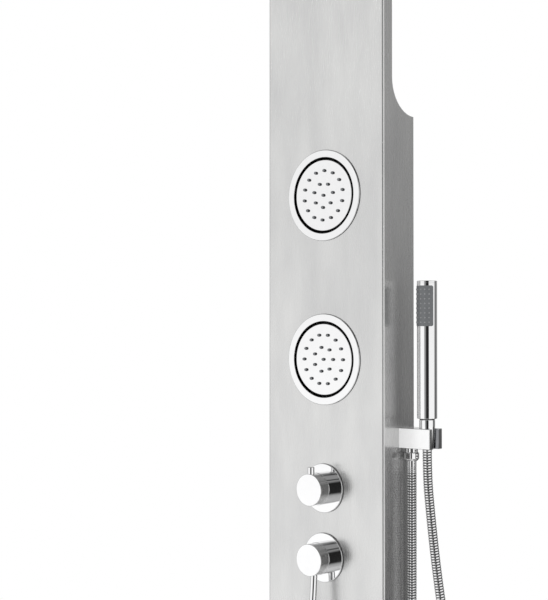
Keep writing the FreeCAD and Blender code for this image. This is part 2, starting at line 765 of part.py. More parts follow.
def jet(level, z):
    """One body jet: trim ring, housing, seat ring, ball, spray disc and nozzle mat."""
    turn = JET_TURNS[level]
    bevel = 1.2
    sleeve_end = FRONT + D.sleeve_length
    piece(f"jet_ring_{level}", turned("y", 0, z, [
        (JET_BORE, sleeve_end),
        (JET_BORE, JET_FACE + bevel),
        (JET_BORE + bevel, JET_FACE),
        (D.jet_ring - bevel, JET_FACE),
        (D.jet_ring, JET_FACE + bevel),
        (D.jet_ring, FRONT),
        (SLEEVE_OUT, FRONT),
        (SLEEVE_OUT, sleeve_end),
    ]))

    wall = 3
    rim = 0.5
    boss = SEAT_RADIUS + wall
    socket = SEAT_RADIUS + D.ball_play
    socket_front = BALL_Y - D.seat_half - rim
    shell = fuse(
        pipe("y", SLEEVE_OUT, SLEEVE_OUT - wall, sleeve_end, HOUSING_BACK, 0, z),
        rod("y", SLEEVE_OUT - SKIM, HOUSING_BACK - wall, HOUSING_BACK, 0, z),
        rod("y", boss, socket_front, HOUSING_BACK, 0, z),
        rod("y", D.boss_radius, HOUSING_BACK - wall, BARB_Y + D.pipe_radius - SKIM, 0, z),
    )
    low = z - BARB_REACH
    high = z + BARB_REACH if level == "lower" else z
    barbs = rod("z", BARB_RADIUS, low, high, 0, BARB_Y)
    duct = rod("y", WATERWAY, BALL_Y, BARB_Y, 0, z)
    far = high + OVERRUN if level == "lower" else z
    cross = rod("z", BARB_BORE, low - OVERRUN, far, 0, BARB_Y)
    housing = cut(fuse(shell, barbs), globe(socket, 0, BALL_Y, z), duct, cross)
    piece(f"jet_housing_{level}", housing)

    seat = cut(
        common(
            globe(SEAT_RADIUS, 0, BALL_Y, z),
            rod("y", SEAT_RADIUS + wall, BALL_Y - D.seat_half, BALL_Y + D.seat_half, 0, z),
        ),
        globe(D.ball_radius + D.ball_play, 0, BALL_Y, z),
    )
    piece(f"jet_seat_{level}", seat)

    back_plate = 2.5
    flange = DISC_BACK - back_plate - D.spin_play
    flange_depth = 1.2
    flange_front = flange - flange_depth
    flange_width = 2
    ball = cut(
        fuse(
            globe(D.ball_radius, 0, BALL_Y, z),
            rod("y", D.ball_neck, flange_front, BALL_Y, 0, z),
            rod("y", D.ball_neck + flange_width, flange_front, flange, 0, z),
        ),
        rod("y", WATERWAY, flange - OVERRUN, BALL_Y + D.ball_radius + OVERRUN, 0, z),
    )
    piece(f"jet_ball_{level}", ball)

    rim_wall = 3
    chamber_front = DISC_FACE + D.disc_plate
    round_rim = 1.2
    disc = turned("y", 0, z, [
        (ZERO, DISC_FACE),
        (JET_DISC - round_rim, DISC_FACE),
        (JET_DISC, DISC_FACE + round_rim),
        (JET_DISC, DISC_BACK),
        (D.ball_neck + D.spin_play, DISC_BACK),
        (D.ball_neck + D.spin_play, DISC_BACK - back_plate),
        (JET_DISC - rim_wall, DISC_BACK - back_plate),
        (JET_DISC - rim_wall, chamber_front),
        (ZERO, chamber_front),
    ])
    hole = D.nozzle_base + SLIP
    circles = ((0, 1), (D.nozzle_ring, JET_NOZZLES[0]), (NOZZLE_RIM, JET_NOZZLES[1]))
    for radius, count in circles:
        patterned(
            disc, chamber_front + SKIM, radius + ZERO, count, hole,
            D.disc_plate + OVERRUN, True, turn=turn,
        )
    piece(f"jet_disc_{level}", disc)

    mat_back = chamber_front + MAT
    mat_room = 2
    mat_radius = JET_DISC - rim_wall - mat_room
    mat = turned("y", 0, z, [
        (ZERO, chamber_front),
        (mat_radius, chamber_front),
        (mat_radius, mat_back),
        (ZERO, mat_back),
    ])
    for radius, count in circles:
        patterned(
            mat, chamber_front + SKIM, radius + ZERO, count, D.nozzle_base,
            D.disc_plate + D.nozzle_proud + SKIM, False, NOZZLE_TAPER, turn,
        )
    piece(f"jet_nozzles_{level}", mat)


def jet_clamping():
    """The lock nuts and seals that hold both trim rings to the casing."""
    seal_front = FRONT + D.skin
    seal = 1.5
    seal_inset = 2
    nut = 8
    bore = SLEEVE_OUT + SLIP
    piece("jet_seals", group(*[
        pipe("y", D.jet_ring - seal_inset, bore, seal_front, seal_front + seal, 0, z)
        for z in JETS.values()
    ]))
    piece("jet_lock_nuts", group(*[
        pipe("y", D.jet_ring, bore, seal_front + seal, seal_front + seal + nut, 0, z)
        for z in JETS.values()
    ]))


# ---------------------------------------------------------------- valves
def valve(name, z, ports):
    """A valve behind the casing with its collar and knob in front."""
    tube_setback = 4
    washer = 1
    tube_end = FRONT - D.collar_end + tube_setback
    body_front = FRONT + D.skin + washer
    chamber_radius = 8
    body_back = PORTS + D.valve_radius
    body = fuse(
        rod("y", D.valve_radius, body_front, body_back, 0, z),
        rod("y", D.tube_radius, tube_end, body_front + SKIM, 0, z),
        *[port(z, way, D.port_radius, 0, D.port_reach) for way in ports],
    )
    bush_room = 4
    bush_back = PORTS - bush_room
    bores = [port(z, way, D.pipe_bore, 0, D.port_reach + OVERRUN) for way in ports]
    cavity = rod("y", D.bush_radius + SLIP, tube_end - OVERRUN, bush_back, 0, z)
    chamber = rod("y", chamber_radius, bush_back - SKIM, PORTS + chamber_radius, 0, z)
    piece(f"{name}_body", cut(body, cavity, chamber, *bores))

    bush_setback = 2
    stem_end = FRONT + 4
    cartridge = cut(
        rod("y", D.bush_radius, tube_end + bush_setback, bush_back, 0, z),
        rod("y", D.stem_radius + SNUG, tube_end - OVERRUN, stem_end, 0, z),
    )
    piece(f"{name}_cartridge", cartridge)

    plate_face = FRONT - D.plate_height
    bevel = 0.9
    piece(f"{name}_escutcheon", turned("y", 0, z, [
        (D.tube_radius + SLIP, FRONT),
        (D.tube_radius + SLIP, plate_face),
        (D.plate_radius - bevel, plate_face),
        (D.plate_radius, plate_face + bevel),
        (D.plate_radius, FRONT),
    ]))

    collar_face = FRONT - D.collar_end
    room = D.tube_radius + VALVE_NUT + SLIP
    lip = 3
    piece(f"{name}_collar", turned("y", 0, z, [
        (room, plate_face),
        (COLLAR_RADIUS, plate_face),
        (COLLAR_RADIUS, collar_face + EDGE),
        (COLLAR_RADIUS - EDGE, collar_face),
        (D.tube_radius + SLIP, collar_face),
        (D.tube_radius + SLIP, collar_face + lip),
        (room, collar_face + lip),
    ]))

    knob_back = collar_face - D.knob_gap
    knob_face = FRONT - D.knob_front
    inner = D.knob_radius - D.knob_wall
    hub_wall = 4
    hub = D.stem_radius + hub_wall
    hub_setback = 1
    hub_end = knob_back - hub_setback
    face_wall = 3.5
    knob = turned("y", 0, z, [
        (ZERO, knob_face),
        (D.knob_radius - EDGE, knob_face),
        (D.knob_radius, knob_face + EDGE),
        (D.knob_radius, knob_back),
        (inner, knob_back),
        (inner, knob_face + face_wall),
        (hub, knob_face + face_wall),
        (hub, hub_end),
        (D.stem_radius, hub_end),
        (D.stem_radius, knob_face + face_wall),
        (ZERO, knob_face + face_wall),
    ])
    pin_start = inner - 3
    outside = D.knob_radius + OVERRUN
    if name == "diverter":
        y = knob_face + D.pin_setback
        hole = rod("z", D.pin_radius, z + pin_start, z + outside, 0, y)
        pin_end = z + D.pin_reach
        pin = fuse(
            rod("z", D.pin_radius, z + pin_start, pin_end - EDGE, 0, y),
            taper("z", D.pin_radius, D.pin_radius - EDGE, pin_end - EDGE, pin_end, 0, y),
        )
    else:
        hole = leaning_rod(z, knob_face, pin_start, outside, D.pin_radius)
        pin = leaning_rod(z, knob_face, pin_start, D.lever_reach, D.pin_radius)
    piece(f"{name}_knob", cut(knob, hole))
    piece(f"{name}_{'pin' if name == 'diverter' else 'lever'}", pin)
    piece(f"{name}_stem", rod(
        "y", D.stem_radius, knob_face + face_wall, stem_end, 0, z
    ))


def port(z, way, radius, start, end):
    """A round stub of a valve, along -X, +X, -Z or +Z from its axis."""
    if way == "left":
        return rod("x", radius, -end, start, PORTS, z)
    if way == "right":
        return rod("x", radius, start, end, PORTS, z)
    if way == "down":
        return rod("z", radius, z - end, z, 0, PORTS)
    return rod("z", radius, z, z + end, 0, PORTS)


def leaning_rod(z, knob_face, start, end, radius):
    """A round rod that hangs down from a knob and leans outwards."""
    lean = math.radians(D.lever_lean.number)
    down = V(0, -math.sin(lean), -math.cos(lean))
    at_wall = V(0, number(knob_face + D.lever_setback), number(z - D.knob_radius))
    first = at_wall + down * (number(start) - D.knob_radius.number)
    shape = DOC.addObject("Part::Cylinder", "Lever")
    set_sizes(shape, Radius=radius, Height=end - start)
    shape.Placement = FreeCAD.Placement(first, FreeCAD.Rotation(V(0, 0, 1), down))
    return shape


def valve_nuts():
    """The nuts that clamp the escutcheons against the casing."""
    nut = 6
    back = FRONT - D.plate_height
    front = back - nut
    piece("valve_nuts", group(*[
        pipe("y", D.tube_radius + VALVE_NUT, D.tube_radius + SLIP, front, back, 0, z)
        for z in KNOBS.values()
    ]))


# ---------------------------------------------------------------- inner pipes
def inner_pipes():
    mixer, diverter = KNOBS["mixer"], KNOBS["diverter"]
    end = D.port_reach
    link_radius = 8
    piece("link_pipe", pipe(
        "z", link_radius, D.pipe_bore, mixer + end, diverter - end, 0, PORTS
    ))
    inlet_z = BOTTOM + D.inlet_height
    copper_bend = 24
    for name, sign in (("hot", -1), ("cold", 1)):
        x = signed(sign, D.inlet_spread)
        bent = hose([(signed(sign, end), PORTS, mixer), (x, PORTS, mixer), (x, PORTS, inlet_z)],
                    [copper_bend])
        flange = pipe("z", D.flange_radius, D.pipe_bore, inlet_z,
                      inlet_z + D.flange_height, x, PORTS)
        piece(f"{name}_inlet_pipe", fuse(bent, flange))
    piece("inlet_unions", group(*[
        union_nut(signed(sign, D.inlet_spread), inlet_z) for sign in (-1, 1)
    ]))

    into_lower = JETS["lower"] - BARB_REACH + D.barb_grip
    out_of_lower = JETS["lower"] + BARB_REACH - D.barb_grip
    into_upper = JETS["upper"] - BARB_REACH + D.barb_grip
    run_out = 38
    jet_bend = 42
    piece("jet_feed_hose", hose([
        (0, PORTS, diverter + end),
        (0, PORTS, diverter + end + run_out),
        (0, BARB_Y, JETS["lower"] - SLEEVE_OUT - D.pipe_radius),
        (0, BARB_Y, into_lower),
    ], [jet_bend, jet_bend]))
    piece("jet_link_hose", hose([(0, BARB_Y, out_of_lower), (0, BARB_Y, into_upper)], []))
    left = D.hose_inset - INSIDE
    # the hose leans forwards into the neck, then swings over to its middle
    lean_start, lean_end = STEP_TOP - 130, STEP_TOP - 20
    swing_start, swing_end = STEP_TOP + 70, STEP_TOP + 190
    elbow, lean, swing = 30, 200, 70
    over = number(D.arm_bend + D.neck_depth / 2)
    piece("rain_hose", hose([
        (-end, PORTS, diverter),
        (left, PORTS, diverter),
        (left, PORTS, lean_start),
        (left, NECK_MIDDLE, lean_end),
        (left, NECK_MIDDLE, swing_start),
        (0, NECK_MIDDLE, swing_end),
        (0, NECK_MIDDLE, ARM_MIDDLE),
        (0, RAIN_BARB_Y + BARB_END - D.pipe_radius, ARM_MIDDLE),
    ], [elbow, lean, lean, swing, swing, over]))
    turn_x = (end + SPIGOT_END) / 2
    bend = number(turn_x - end) * 0.75
    piece("handset_feed_pipe", hose([
        (end, PORTS, diverter),
        (turn_x, PORTS, diverter),
        (turn_x, CONE_Y, HOLDER_MIDDLE),
        (SPIGOT_END, CONE_Y, HOLDER_MIDDLE),
    ], [bend, bend]))


def union_nut(x, top):
    """A half-inch union nut that opens downwards, brazed under an inlet pipe's flange."""
    bottom = top - D.union_length
    return cut(
        hexagon("z", D.union_corner, bottom, top, x, PORTS),
        rod("z", D.union_bore, bottom - OVERRUN, top + OVERRUN, x, PORTS),
    )


# ---------------------------------------------------------------- holder and outlet
def holder():
    """The square block on the right side wall: water outlet and hand shower rest in one."""
    end = SIDE + D.holder_reach
    back = HOLDER_FRONT + D.holder_depth
    block = round_edges(
        brick(SIDE, end, HOLDER_FRONT, back, HOLDER_BOTTOM, HOLDER_TOP),
        D.holder_round,
        lambda edge: edge.BoundBox.Center.x > SIDE.number + 1,
    )
    spigot = rod("x", SPIGOT, SPIGOT_END, SIDE + 1, CONE_Y, HOLDER_MIDDLE)
    slope = (D.cone_radius - D.cone_end) / (D.cone_length - D.cone_straight)
    slim_top = CONE_TOP - D.cone_straight
    socket_top = D.cone_radius + D.cone_play - slope * (slim_top - HOLDER_TOP)
    socket_end = socket_top - slope * D.holder_height
    more = slope * OVERRUN
    socket = taper(
        "z", socket_end - more, socket_top + more, HOLDER_BOTTOM - OVERRUN,
        HOLDER_TOP + OVERRUN, CONE_X, CONE_Y,
    )
    slot = brick(
        CONE_X, end + OVERRUN, CONE_Y - D.slot_width / 2, CONE_Y + D.slot_width / 2,
        HOLDER_BOTTOM - OVERRUN, HOLDER_TOP + OVERRUN,
    )
    feed = rod("x", D.stem_radius, SPIGOT_END - OVERRUN, OUTLET_X, CONE_Y, HOLDER_MIDDLE)
    thread = 6
    drop = rod("z", thread, HOLDER_BOTTOM - OVERRUN, HOLDER_MIDDLE, OUTLET_X, CONE_Y)
    piece("holder_block", cut(fuse(block, spigot), socket, slot, feed, drop))
    nut_start = INSIDE - D.holder_nut
    nut_width = 6
    piece("holder_nut", cut(
        hexagon("x", SPIGOT + nut_width, nut_start, INSIDE, CONE_Y, HOLDER_MIDDLE),
        rod("x", SPIGOT + SNUG, nut_start - OVERRUN, INSIDE + OVERRUN, CONE_Y, HOLDER_MIDDLE),
    ))
    nipple_end = NUT_SEAT + SKIM
    screwed_in = 10
    thread_end = HOLDER_BOTTOM + screwed_in
    piece("outlet_nipple", cut(
        fuse(
            rod("z", thread, HOLDER_BOTTOM, thread_end, OUTLET_X, CONE_Y),
            rod("z", NIPPLE, nipple_end, HOLDER_BOTTOM, OUTLET_X, CONE_Y),
        ),
        rod("z", D.pipe_bore, nipple_end - OVERRUN, thread_end + OVERRUN, OUTLET_X, CONE_Y),
    ))


def hose_ends():
    bottom = NUT_TOP - D.nut_height
    top_edge = 1.1
    shoulder = 3.5
    waist_rise = 0.9
    waist = bottom + waist_rise
    bore = NIPPLE + SLIP
    sleeve = D.crimp_radius + SNUG
    flare = 1.8
    collar = D.crimp_radius + flare
    piece("hose_nut", turned("z", OUTLET_X, CONE_Y, [
        (bore, NUT_TOP),
        (D.nut_radius - top_edge, NUT_TOP),
        (D.nut_radius, NUT_TOP - top_edge),
        (D.nut_radius, bottom + shoulder),
        (D.nut_radius - top_edge * 2, waist),
        (D.nut_radius - shoulder, bottom),
        (sleeve, bottom),
        (sleeve, NUT_SEAT),
        (bore, NUT_SEAT),
    ]))
    piece("hose_crimp", turned("z", OUTLET_X, CONE_Y, [
        (D.hose_bore, CRIMP_END),
        (D.crimp_radius, CRIMP_END),
        (D.crimp_radius, NUT_SEAT),
        (collar, NUT_SEAT),
        (collar, NUT_SEAT + SKIM),
        (D.hose_bore, NUT_SEAT + SKIM),
    ]))
    slim_top = CONE_TOP - D.cone_straight
    thread_depth = 12
    thread_end = CONE_TOP - thread_depth
    piece("cone_nut", turned("z", CONE_X, CONE_Y, [
        (D.wand_thread + SLIP, CONE_TOP),
        (D.cone_radius - EDGE, CONE_TOP),
        (D.cone_radius, CONE_TOP - EDGE),
        (D.cone_radius, slim_top),
        (D.cone_end, CONE_BOTTOM),
        (D.hose_bore, CONE_BOTTOM),
        (D.hose_bore, thread_end),
        (D.wand_thread + SLIP, thread_end),
    ]))


# ---------------------------------------------------------------- hand shower
def hand_shower():
    radius, wall = D.wand_radius, D.wand_wall
    base = CONE_TOP + SLIP
    floor, thread = 3, 10
    inside_floor = CONE_TOP + floor
    thread_end = CONE_TOP - thread
    body = turned("z", CONE_X, CONE_Y, [
        (ZERO, WAND_TOP - wall),
        (ZERO, WAND_TOP),
        (radius - EDGE, WAND_TOP),
        (radius, WAND_TOP - EDGE),
        (radius, base + EDGE),
        (radius - EDGE, base),
        (D.wand_thread, base),
        (D.wand_thread, thread_end),
        (D.stem_radius, thread_end),
        (D.stem_radius, inside_floor),
        (radius - wall, inside_floor),
        (radius - wall, WAND_TOP - wall),
    ])
    pad_top = WAND_TOP - D.pad_drop
    pad_low = pad_top - D.pad_height
    piece("handset_body", cut(body, pad_sector(radius + OVERRUN, pad_low, pad_top)))

    skin = pipe("z", radius + D.pad_proud, radius - wall, pad_low, pad_top, CONE_X, CONE_Y)
    pad = common(skin, pad_sector(radius + OVERRUN, pad_low, pad_top))
    middle = (pad_low + pad_top) / 2
    nozzles = []
    for row in range(PAD_ROWS):
        level = middle + (row - (PAD_ROWS - 1) / 2) * PAD_ROW_PITCH
        for column in range(PAD_COLUMNS):
            turn = (column - (PAD_COLUMNS - 1) / 2) * PAD_COLUMN_ANGLE
            nozzles.append(pad_nozzle(turn, level))
    piece("handset_pad", fuse(pad, *nozzles))


def pad_sector(radius, low, high):
    """The wedge of the hand shower that its nozzle pad fills, facing the front."""
    wedge = DOC.addObject("Part::Cylinder", "Wedge")
    set_sizes(wedge, Radius=radius, Height=high - low, Angle=D.pad_half_turn * 2)
    place(wedge, "z", low, CONE_X, CONE_Y)
    wedge.Placement = FreeCAD.Placement(
        wedge.Placement.Base, FreeCAD.Rotation(V(0, 0, 1), -90 - D.pad_half_turn.number)
    )
    return wedge


def pad_nozzle(turn, level):
    """A small cone that stands out of the pad, turn degrees from straight forwards."""
    angle = math.radians(turn - 90)
    way = V(math.cos(angle), math.sin(angle), 0)
    start = D.wand_radius.number - SKIM
    stands_out = 0.7
    nozzle = DOC.addObject("Part::Cone", "Nozzle")
    set_sizes(
        nozzle, Radius1=D.pad_nozzle, Radius2=D.pad_nozzle * 0.75,
        Height=SKIM + D.pad_proud + stands_out,
    )
    base = V(CONE_X.number, CONE_Y.number, number(level)) + way * start
    nozzle.Placement = FreeCAD.Placement(base, FreeCAD.Rotation(V(0, 0, 1), way))
    return nozzle


# ---------------------------------------------------------------- shower hose
# The hose hangs in one upright plane. Each point is (distance from the outlet's axis
# towards the hand shower's axis, height), both in millimetres.
HOSE_ROUTE = [
    (0, -503.8),
    (0, -640),
    (-1, -780),
    (-5, -900),
    (-11, -995),
    (-16, -1070),
    (-22, -1138),
    (-4, -1175),
    (29, -1196),
    (68, -1196),
    (101, -1175),
    (118, -1138),
    (115, -1070),
    (107, -992),
    (95, -916),
    (81.5, -840),
    (67, -767),
    (52.5, -697),
    (41, -626),
    (33, -562),
    (27.2, -508),
    (27.2, -468),
]


def shower_hose():
    """The ribbed hose: a ruled loft through four circles a rib, with its bore."""
    points = [V(OUTLET_X.number + s, CONE_Y.number, z) for s, z in HOSE_ROUTE]
    # the ends meet the crimp sleeve and the conical nut wherever those are
    points[0].z = CRIMP_END.number
    points[-1] = V(CONE_X.number, CONE_Y.number, CONE_BOTTOM.number)
    radii = free_radii(points)
    print("hose arc radii:", [round(r) for r in radii])
    path = bent_path(points, radii)
    print("hose length:", round(path.Length, 1))
    steady = V(0, 1, 0)
    straight = 2 * D.hose_radius.number
    pitch = (path.Length - 2 * straight) / HOSE_RIBS
    slope = 0.11 * pitch  # length of each flank of a rib
    stations = [(0.0, D.hose_root.number), (straight, D.hose_root.number)]
    for rib in range(HOSE_RIBS):
        start = straight + rib * pitch
        stations += [
            (start + slope, D.hose_root.number),
            (start + slope * 2, D.hose_radius.number),
            (start + pitch - slope * 2, D.hose_radius.number),
            (start + pitch - slope, D.hose_root.number),
        ]
    stations += [(path.Length - straight, D.hose_root.number)]
    stations += [(path.Length, D.hose_root.number)]
    lengths = [edge.Length for edge in path.Edges]

    def ring(distance, radius):
        index = 0
        while index < len(lengths) - 1 and distance > lengths[index]:
            distance -= lengths[index]
            index += 1
        edge = path.Edges[index]
        spot = edge.getParameterByLength(min(distance, lengths[index]))
        heading = edge.tangentAt(spot)
        circle = Part.Circle()
        circle.Radius = radius
        shape = circle.toShape()
        across = heading.cross(steady)
        turn = FreeCAD.Rotation(steady, across, heading, "ZXY")
        shape.Placement = FreeCAD.Placement(edge.valueAt(spot), turn)
        return Part.Wire([shape])

    outside = Part.makeLoft([ring(s, r) for s, r in stations], True, True)
    feature = DOC.addObject("Part::Feature", "Hose")
    feature.Shape = outside.cut(along(path, D.hose_bore.number))
    piece("shower_hose", feature)


# ---------------------------------------------------------------- rain head
def rain_head():
    """The round rain head set flush into the underside of the arm."""
    face = ARM_UNDER - D.rain_proud
    sleeve_depth = 6
    sleeve_top = ARM_UNDER + sleeve_depth
    plate_wall = 2
    sleeve_out = RAIN_BORE + D.jet_sleeve
    bevel = 1.5
    piece("rain_ring", turned("z", 0, RAIN_Y, [
        (RAIN_BORE, sleeve_top),
        (RAIN_BORE, face + bevel),
        (RAIN_BORE + bevel, face),
        (RAIN_RING - bevel, face),
        (RAIN_RING, face + bevel),
        (RAIN_RING, ARM_UNDER),
        (sleeve_out, ARM_UNDER),
        (sleeve_out, sleeve_top),
    ]))
    housing_room = 0.5
    housing_top = D.column_rise - D.skin - housing_room
    wall = 2
    rim = 3
    barb_end = RAIN_BARB_Y + BARB_END
    housing = cut(
        fuse(
            rod("z", sleeve_out, sleeve_top, housing_top, 0, RAIN_Y),
            rod("y", BARB_RADIUS, RAIN_BARB_Y - wall, barb_end, 0, ARM_MIDDLE),
        ),
        rod("z", RAIN_PLATE - rim, sleeve_top - OVERRUN, housing_top - wall, 0, RAIN_Y),
        rod("y", BARB_BORE, RAIN_BARB_Y - 2 * OVERRUN, barb_end + OVERRUN, 0, ARM_MIDDLE),
    )
    piece("rain_housing", housing)
    plate_sink = 1
    plate_low = face + plate_sink
    mat_low = plate_low + plate_wall
    plate = turned("z", 0, RAIN_Y, [
        (ZERO, plate_low),
        (RAIN_PLATE - EDGE, plate_low),
        (RAIN_PLATE, plate_low + EDGE),
        (RAIN_PLATE, sleeve_top),
        (RAIN_PLATE - plate_wall, sleeve_top),
        (RAIN_PLATE - plate_wall, mat_low),
        (ZERO, mat_low),
    ])
    mat_radius = RAIN_PLATE - plate_wall * 2
    mat_margin = 5
    mat = turned("z", 0, RAIN_Y, [
        (ZERO, mat_low),
        (mat_radius, mat_low),
        (mat_radius, mat_low + MAT),
        (ZERO, mat_low + MAT),
    ])
    step = (mat_radius - mat_margin) / len(RAIN_NOZZLES)
    size = D.nozzle_base * 0.8
    for index, count in enumerate(RAIN_NOZZLES, start=1):
        radius = step * index
        depth = plate_wall + OVERRUN
        patterned(plate, mat_low + SKIM, radius, count, size + SLIP, depth, True)
        patterned(
            mat, mat_low + SKIM, radius, count, size,
            D.nozzle_proud + plate_wall + SKIM, False, NOZZLE_TAPER,
        )
    piece("rain_plate", plate)
    piece("rain_nozzles", mat)


# ---------------------------------------------------------------- the assembly
def build():
    casing()
    rear_cover()
    spacer_bars()
    casing_screws()
    bottom_cap()
    wall_bracket("wall_bracket_upper", ZERO)
    hook_bar("hook_bar_upper", ZERO)
    wall_bracket("wall_bracket_lower", BOTTOM + D.lower_bracket)
    hook_bar("hook_bar_lower", BOTTOM + D.lower_bracket)
    for level, z in JETS.items():
        jet(level, z)
    jet_clamping()
    valve("diverter", KNOBS["diverter"], ("left", "right", "up", "down"))
    valve("mixer", KNOBS["mixer"], ("left", "right", "up"))
    valve_nuts()
    inner_pipes()
    holder()
    hose_ends()
    hand_shower()
    shower_hose()
    rain_head()
    DOC.recompute()


def export():
    """Check every object, then write one file for each sub-part."""
    for thing in DOC.Objects:
        if "Invalid" in thing.State or "Error" in thing.State:
            raise RuntimeError(f"{thing.Name} ({thing.Label}) failed: {thing.State}")
    for shape in PIECES:
        if shape.Shape.isNull() or not shape.Shape.isValid():
            raise RuntimeError(f"{shape.Label} has no valid shape")
    os.makedirs("parts", exist_ok=True)
    for shape in PIECES:
        shape.Shape.exportStep(os.path.join("parts", f"{shape.Label}.step"))
    print(len(PIECES), "sub-parts written")


build()
export()
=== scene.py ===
import json
import math

import bmesh
import bpy
from mathutils import Matrix, Vector

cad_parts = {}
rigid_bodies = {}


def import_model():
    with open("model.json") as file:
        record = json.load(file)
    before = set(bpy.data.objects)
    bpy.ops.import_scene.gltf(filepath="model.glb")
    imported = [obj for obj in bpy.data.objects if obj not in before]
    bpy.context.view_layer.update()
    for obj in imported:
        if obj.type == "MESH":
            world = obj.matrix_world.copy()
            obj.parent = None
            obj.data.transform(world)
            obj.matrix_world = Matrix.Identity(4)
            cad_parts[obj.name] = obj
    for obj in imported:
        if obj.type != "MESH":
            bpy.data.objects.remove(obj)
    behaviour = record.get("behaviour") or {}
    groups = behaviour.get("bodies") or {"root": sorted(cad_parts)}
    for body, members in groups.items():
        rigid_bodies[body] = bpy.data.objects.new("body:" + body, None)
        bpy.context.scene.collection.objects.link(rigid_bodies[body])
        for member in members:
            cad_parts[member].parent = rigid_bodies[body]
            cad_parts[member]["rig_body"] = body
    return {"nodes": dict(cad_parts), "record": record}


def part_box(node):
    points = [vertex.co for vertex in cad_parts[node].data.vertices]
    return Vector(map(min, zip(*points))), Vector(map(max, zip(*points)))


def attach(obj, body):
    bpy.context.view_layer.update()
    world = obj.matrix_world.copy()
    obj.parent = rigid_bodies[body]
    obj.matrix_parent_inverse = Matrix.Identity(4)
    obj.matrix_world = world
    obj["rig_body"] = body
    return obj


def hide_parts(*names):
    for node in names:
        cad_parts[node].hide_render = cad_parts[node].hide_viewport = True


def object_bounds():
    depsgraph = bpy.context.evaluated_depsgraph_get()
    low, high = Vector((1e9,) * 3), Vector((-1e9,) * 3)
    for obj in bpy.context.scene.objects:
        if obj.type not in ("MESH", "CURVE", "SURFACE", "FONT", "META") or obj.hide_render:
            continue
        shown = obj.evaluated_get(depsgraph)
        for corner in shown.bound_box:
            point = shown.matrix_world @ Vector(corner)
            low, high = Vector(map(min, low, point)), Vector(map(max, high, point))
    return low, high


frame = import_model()

# A wall-hung shower panel column. Metres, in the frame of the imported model: X to the right
# seen from the front, Y towards the wall, Z up.
NODES = frame["nodes"]
SLOTS = {part["node"]: part["material_slot"] for part in frame["record"]["subparts"]}
CAD_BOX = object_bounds()
MM = 0.001

# ------------------------------------------------------------------ camera
# The photograph was taken from the right, at the height of the two jets, looking up a little.
CAMERA_PLACE = (1.3536, -1.7443, -0.2865)
CAMERA_TURN = 41.032  # degrees to the left of straight ahead
CAMERA_TILT = 0.962  # degrees upwards
LENS = 86.33  # millimetres, for a sensor whose long side is 36 mm


def photograph_camera():
    data = bpy.data.cameras.new("camera")
    data.lens = LENS
    data.sensor_width = 36
    data.clip_end = 50
    camera = bpy.data.objects.new("camera", data)
    camera.location = CAMERA_PLACE
    camera.rotation_euler = (math.radians(90 + CAMERA_TILT), 0, math.radians(CAMERA_TURN))
    bpy.context.scene.collection.objects.link(camera)
    bpy.context.scene.camera = camera


photograph_camera()


# ------------------------------------------------------------------ places from the frame
def middle(node):
    low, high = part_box(node)
    return (low + high) / 2


def islands(node):
    """The boxes of a node's separate solids, as (lowest corner, highest corner)."""
    mesh = bmesh.new()
    mesh.from_mesh(NODES[node].data)
    bmesh.ops.remove_doubles(mesh, verts=mesh.verts, dist=1e-6)
    left = set(mesh.verts)
    boxes = []
    while left:
        spread = [left.pop()]
        found = list(spread)
        while spread:
            for edge in spread.pop().link_edges:
                for vert in edge.verts:
                    if vert in left:
                        left.remove(vert)
                        spread.append(vert)
                        found.append(vert)
        low = Vector([min(v.co[i] for v in found) for i in range(3)])
        high = Vector([max(v.co[i] for v in found) for i in range(3)])
        boxes.append((low, high))
    mesh.free()
    return sorted(boxes, key=lambda b: tuple(round(c, 4) for c in b[0]))


# ------------------------------------------------------------------ nodes of trees
MATH = "ShaderNodeMath"
MIX = "ShaderNodeMix"
NOISE = "ShaderNodeTexNoise"
MAP = "ShaderNodeMapRange"  # 0 the value, 1 and 2 the range it lies in, 3 and 4 the one it gets
LOW, HIGH = 0.3, 0.7  # nearly all of a noise lies between them


def linear(hex_colour):
    """A colour written as sRGB hex, as the linear values that shaders take."""
    parts = [int(hex_colour[i:i + 2], 16) / 255 for i in (1, 3, 5)]
    return tuple(p / 12.92 if p <= 0.04045 else ((p + 0.055) / 1.055) ** 2.4 for p in parts) + (1,)


def feed(tree, node, inputs):
    """Set or link a node's inputs. Each gets a value, a hex colour, a socket, or a node, whose
    first open output then feeds it."""
    for key, value in inputs.items():
        if isinstance(value, bpy.types.Node):
            value = next(output for output in value.outputs if output.enabled)
        if isinstance(value, bpy.types.NodeSocket):
            tree.links.new(value, node.inputs[key])
        elif isinstance(value, str) and value.startswith("#"):
            node.inputs[key].default_value = linear(value)
        else:
            node.inputs[key].default_value = value


def add(tree, kind, inputs=None, **settings):
    """A node with its settings and links."""
    node = tree.nodes.new(kind)
    for name, value in settings.items():
        setattr(node, name, value)
    feed(tree, node, inputs or {})
    return node


# ------------------------------------------------------------------ materials
def new_material(name):
    """A material, its tree, its shader and the socket of object coordinates in metres."""
    material = bpy.data.materials.new(name)
    material.use_nodes = True
    tree = material.node_tree
    tree.nodes.clear()
    shader = add(tree, "ShaderNodeBsdfPrincipled")
    add(tree, "ShaderNodeOutputMaterial", {"Surface": shader})
    return material, tree, shader, add(tree, "ShaderNodeTexCoord").outputs["Object"]


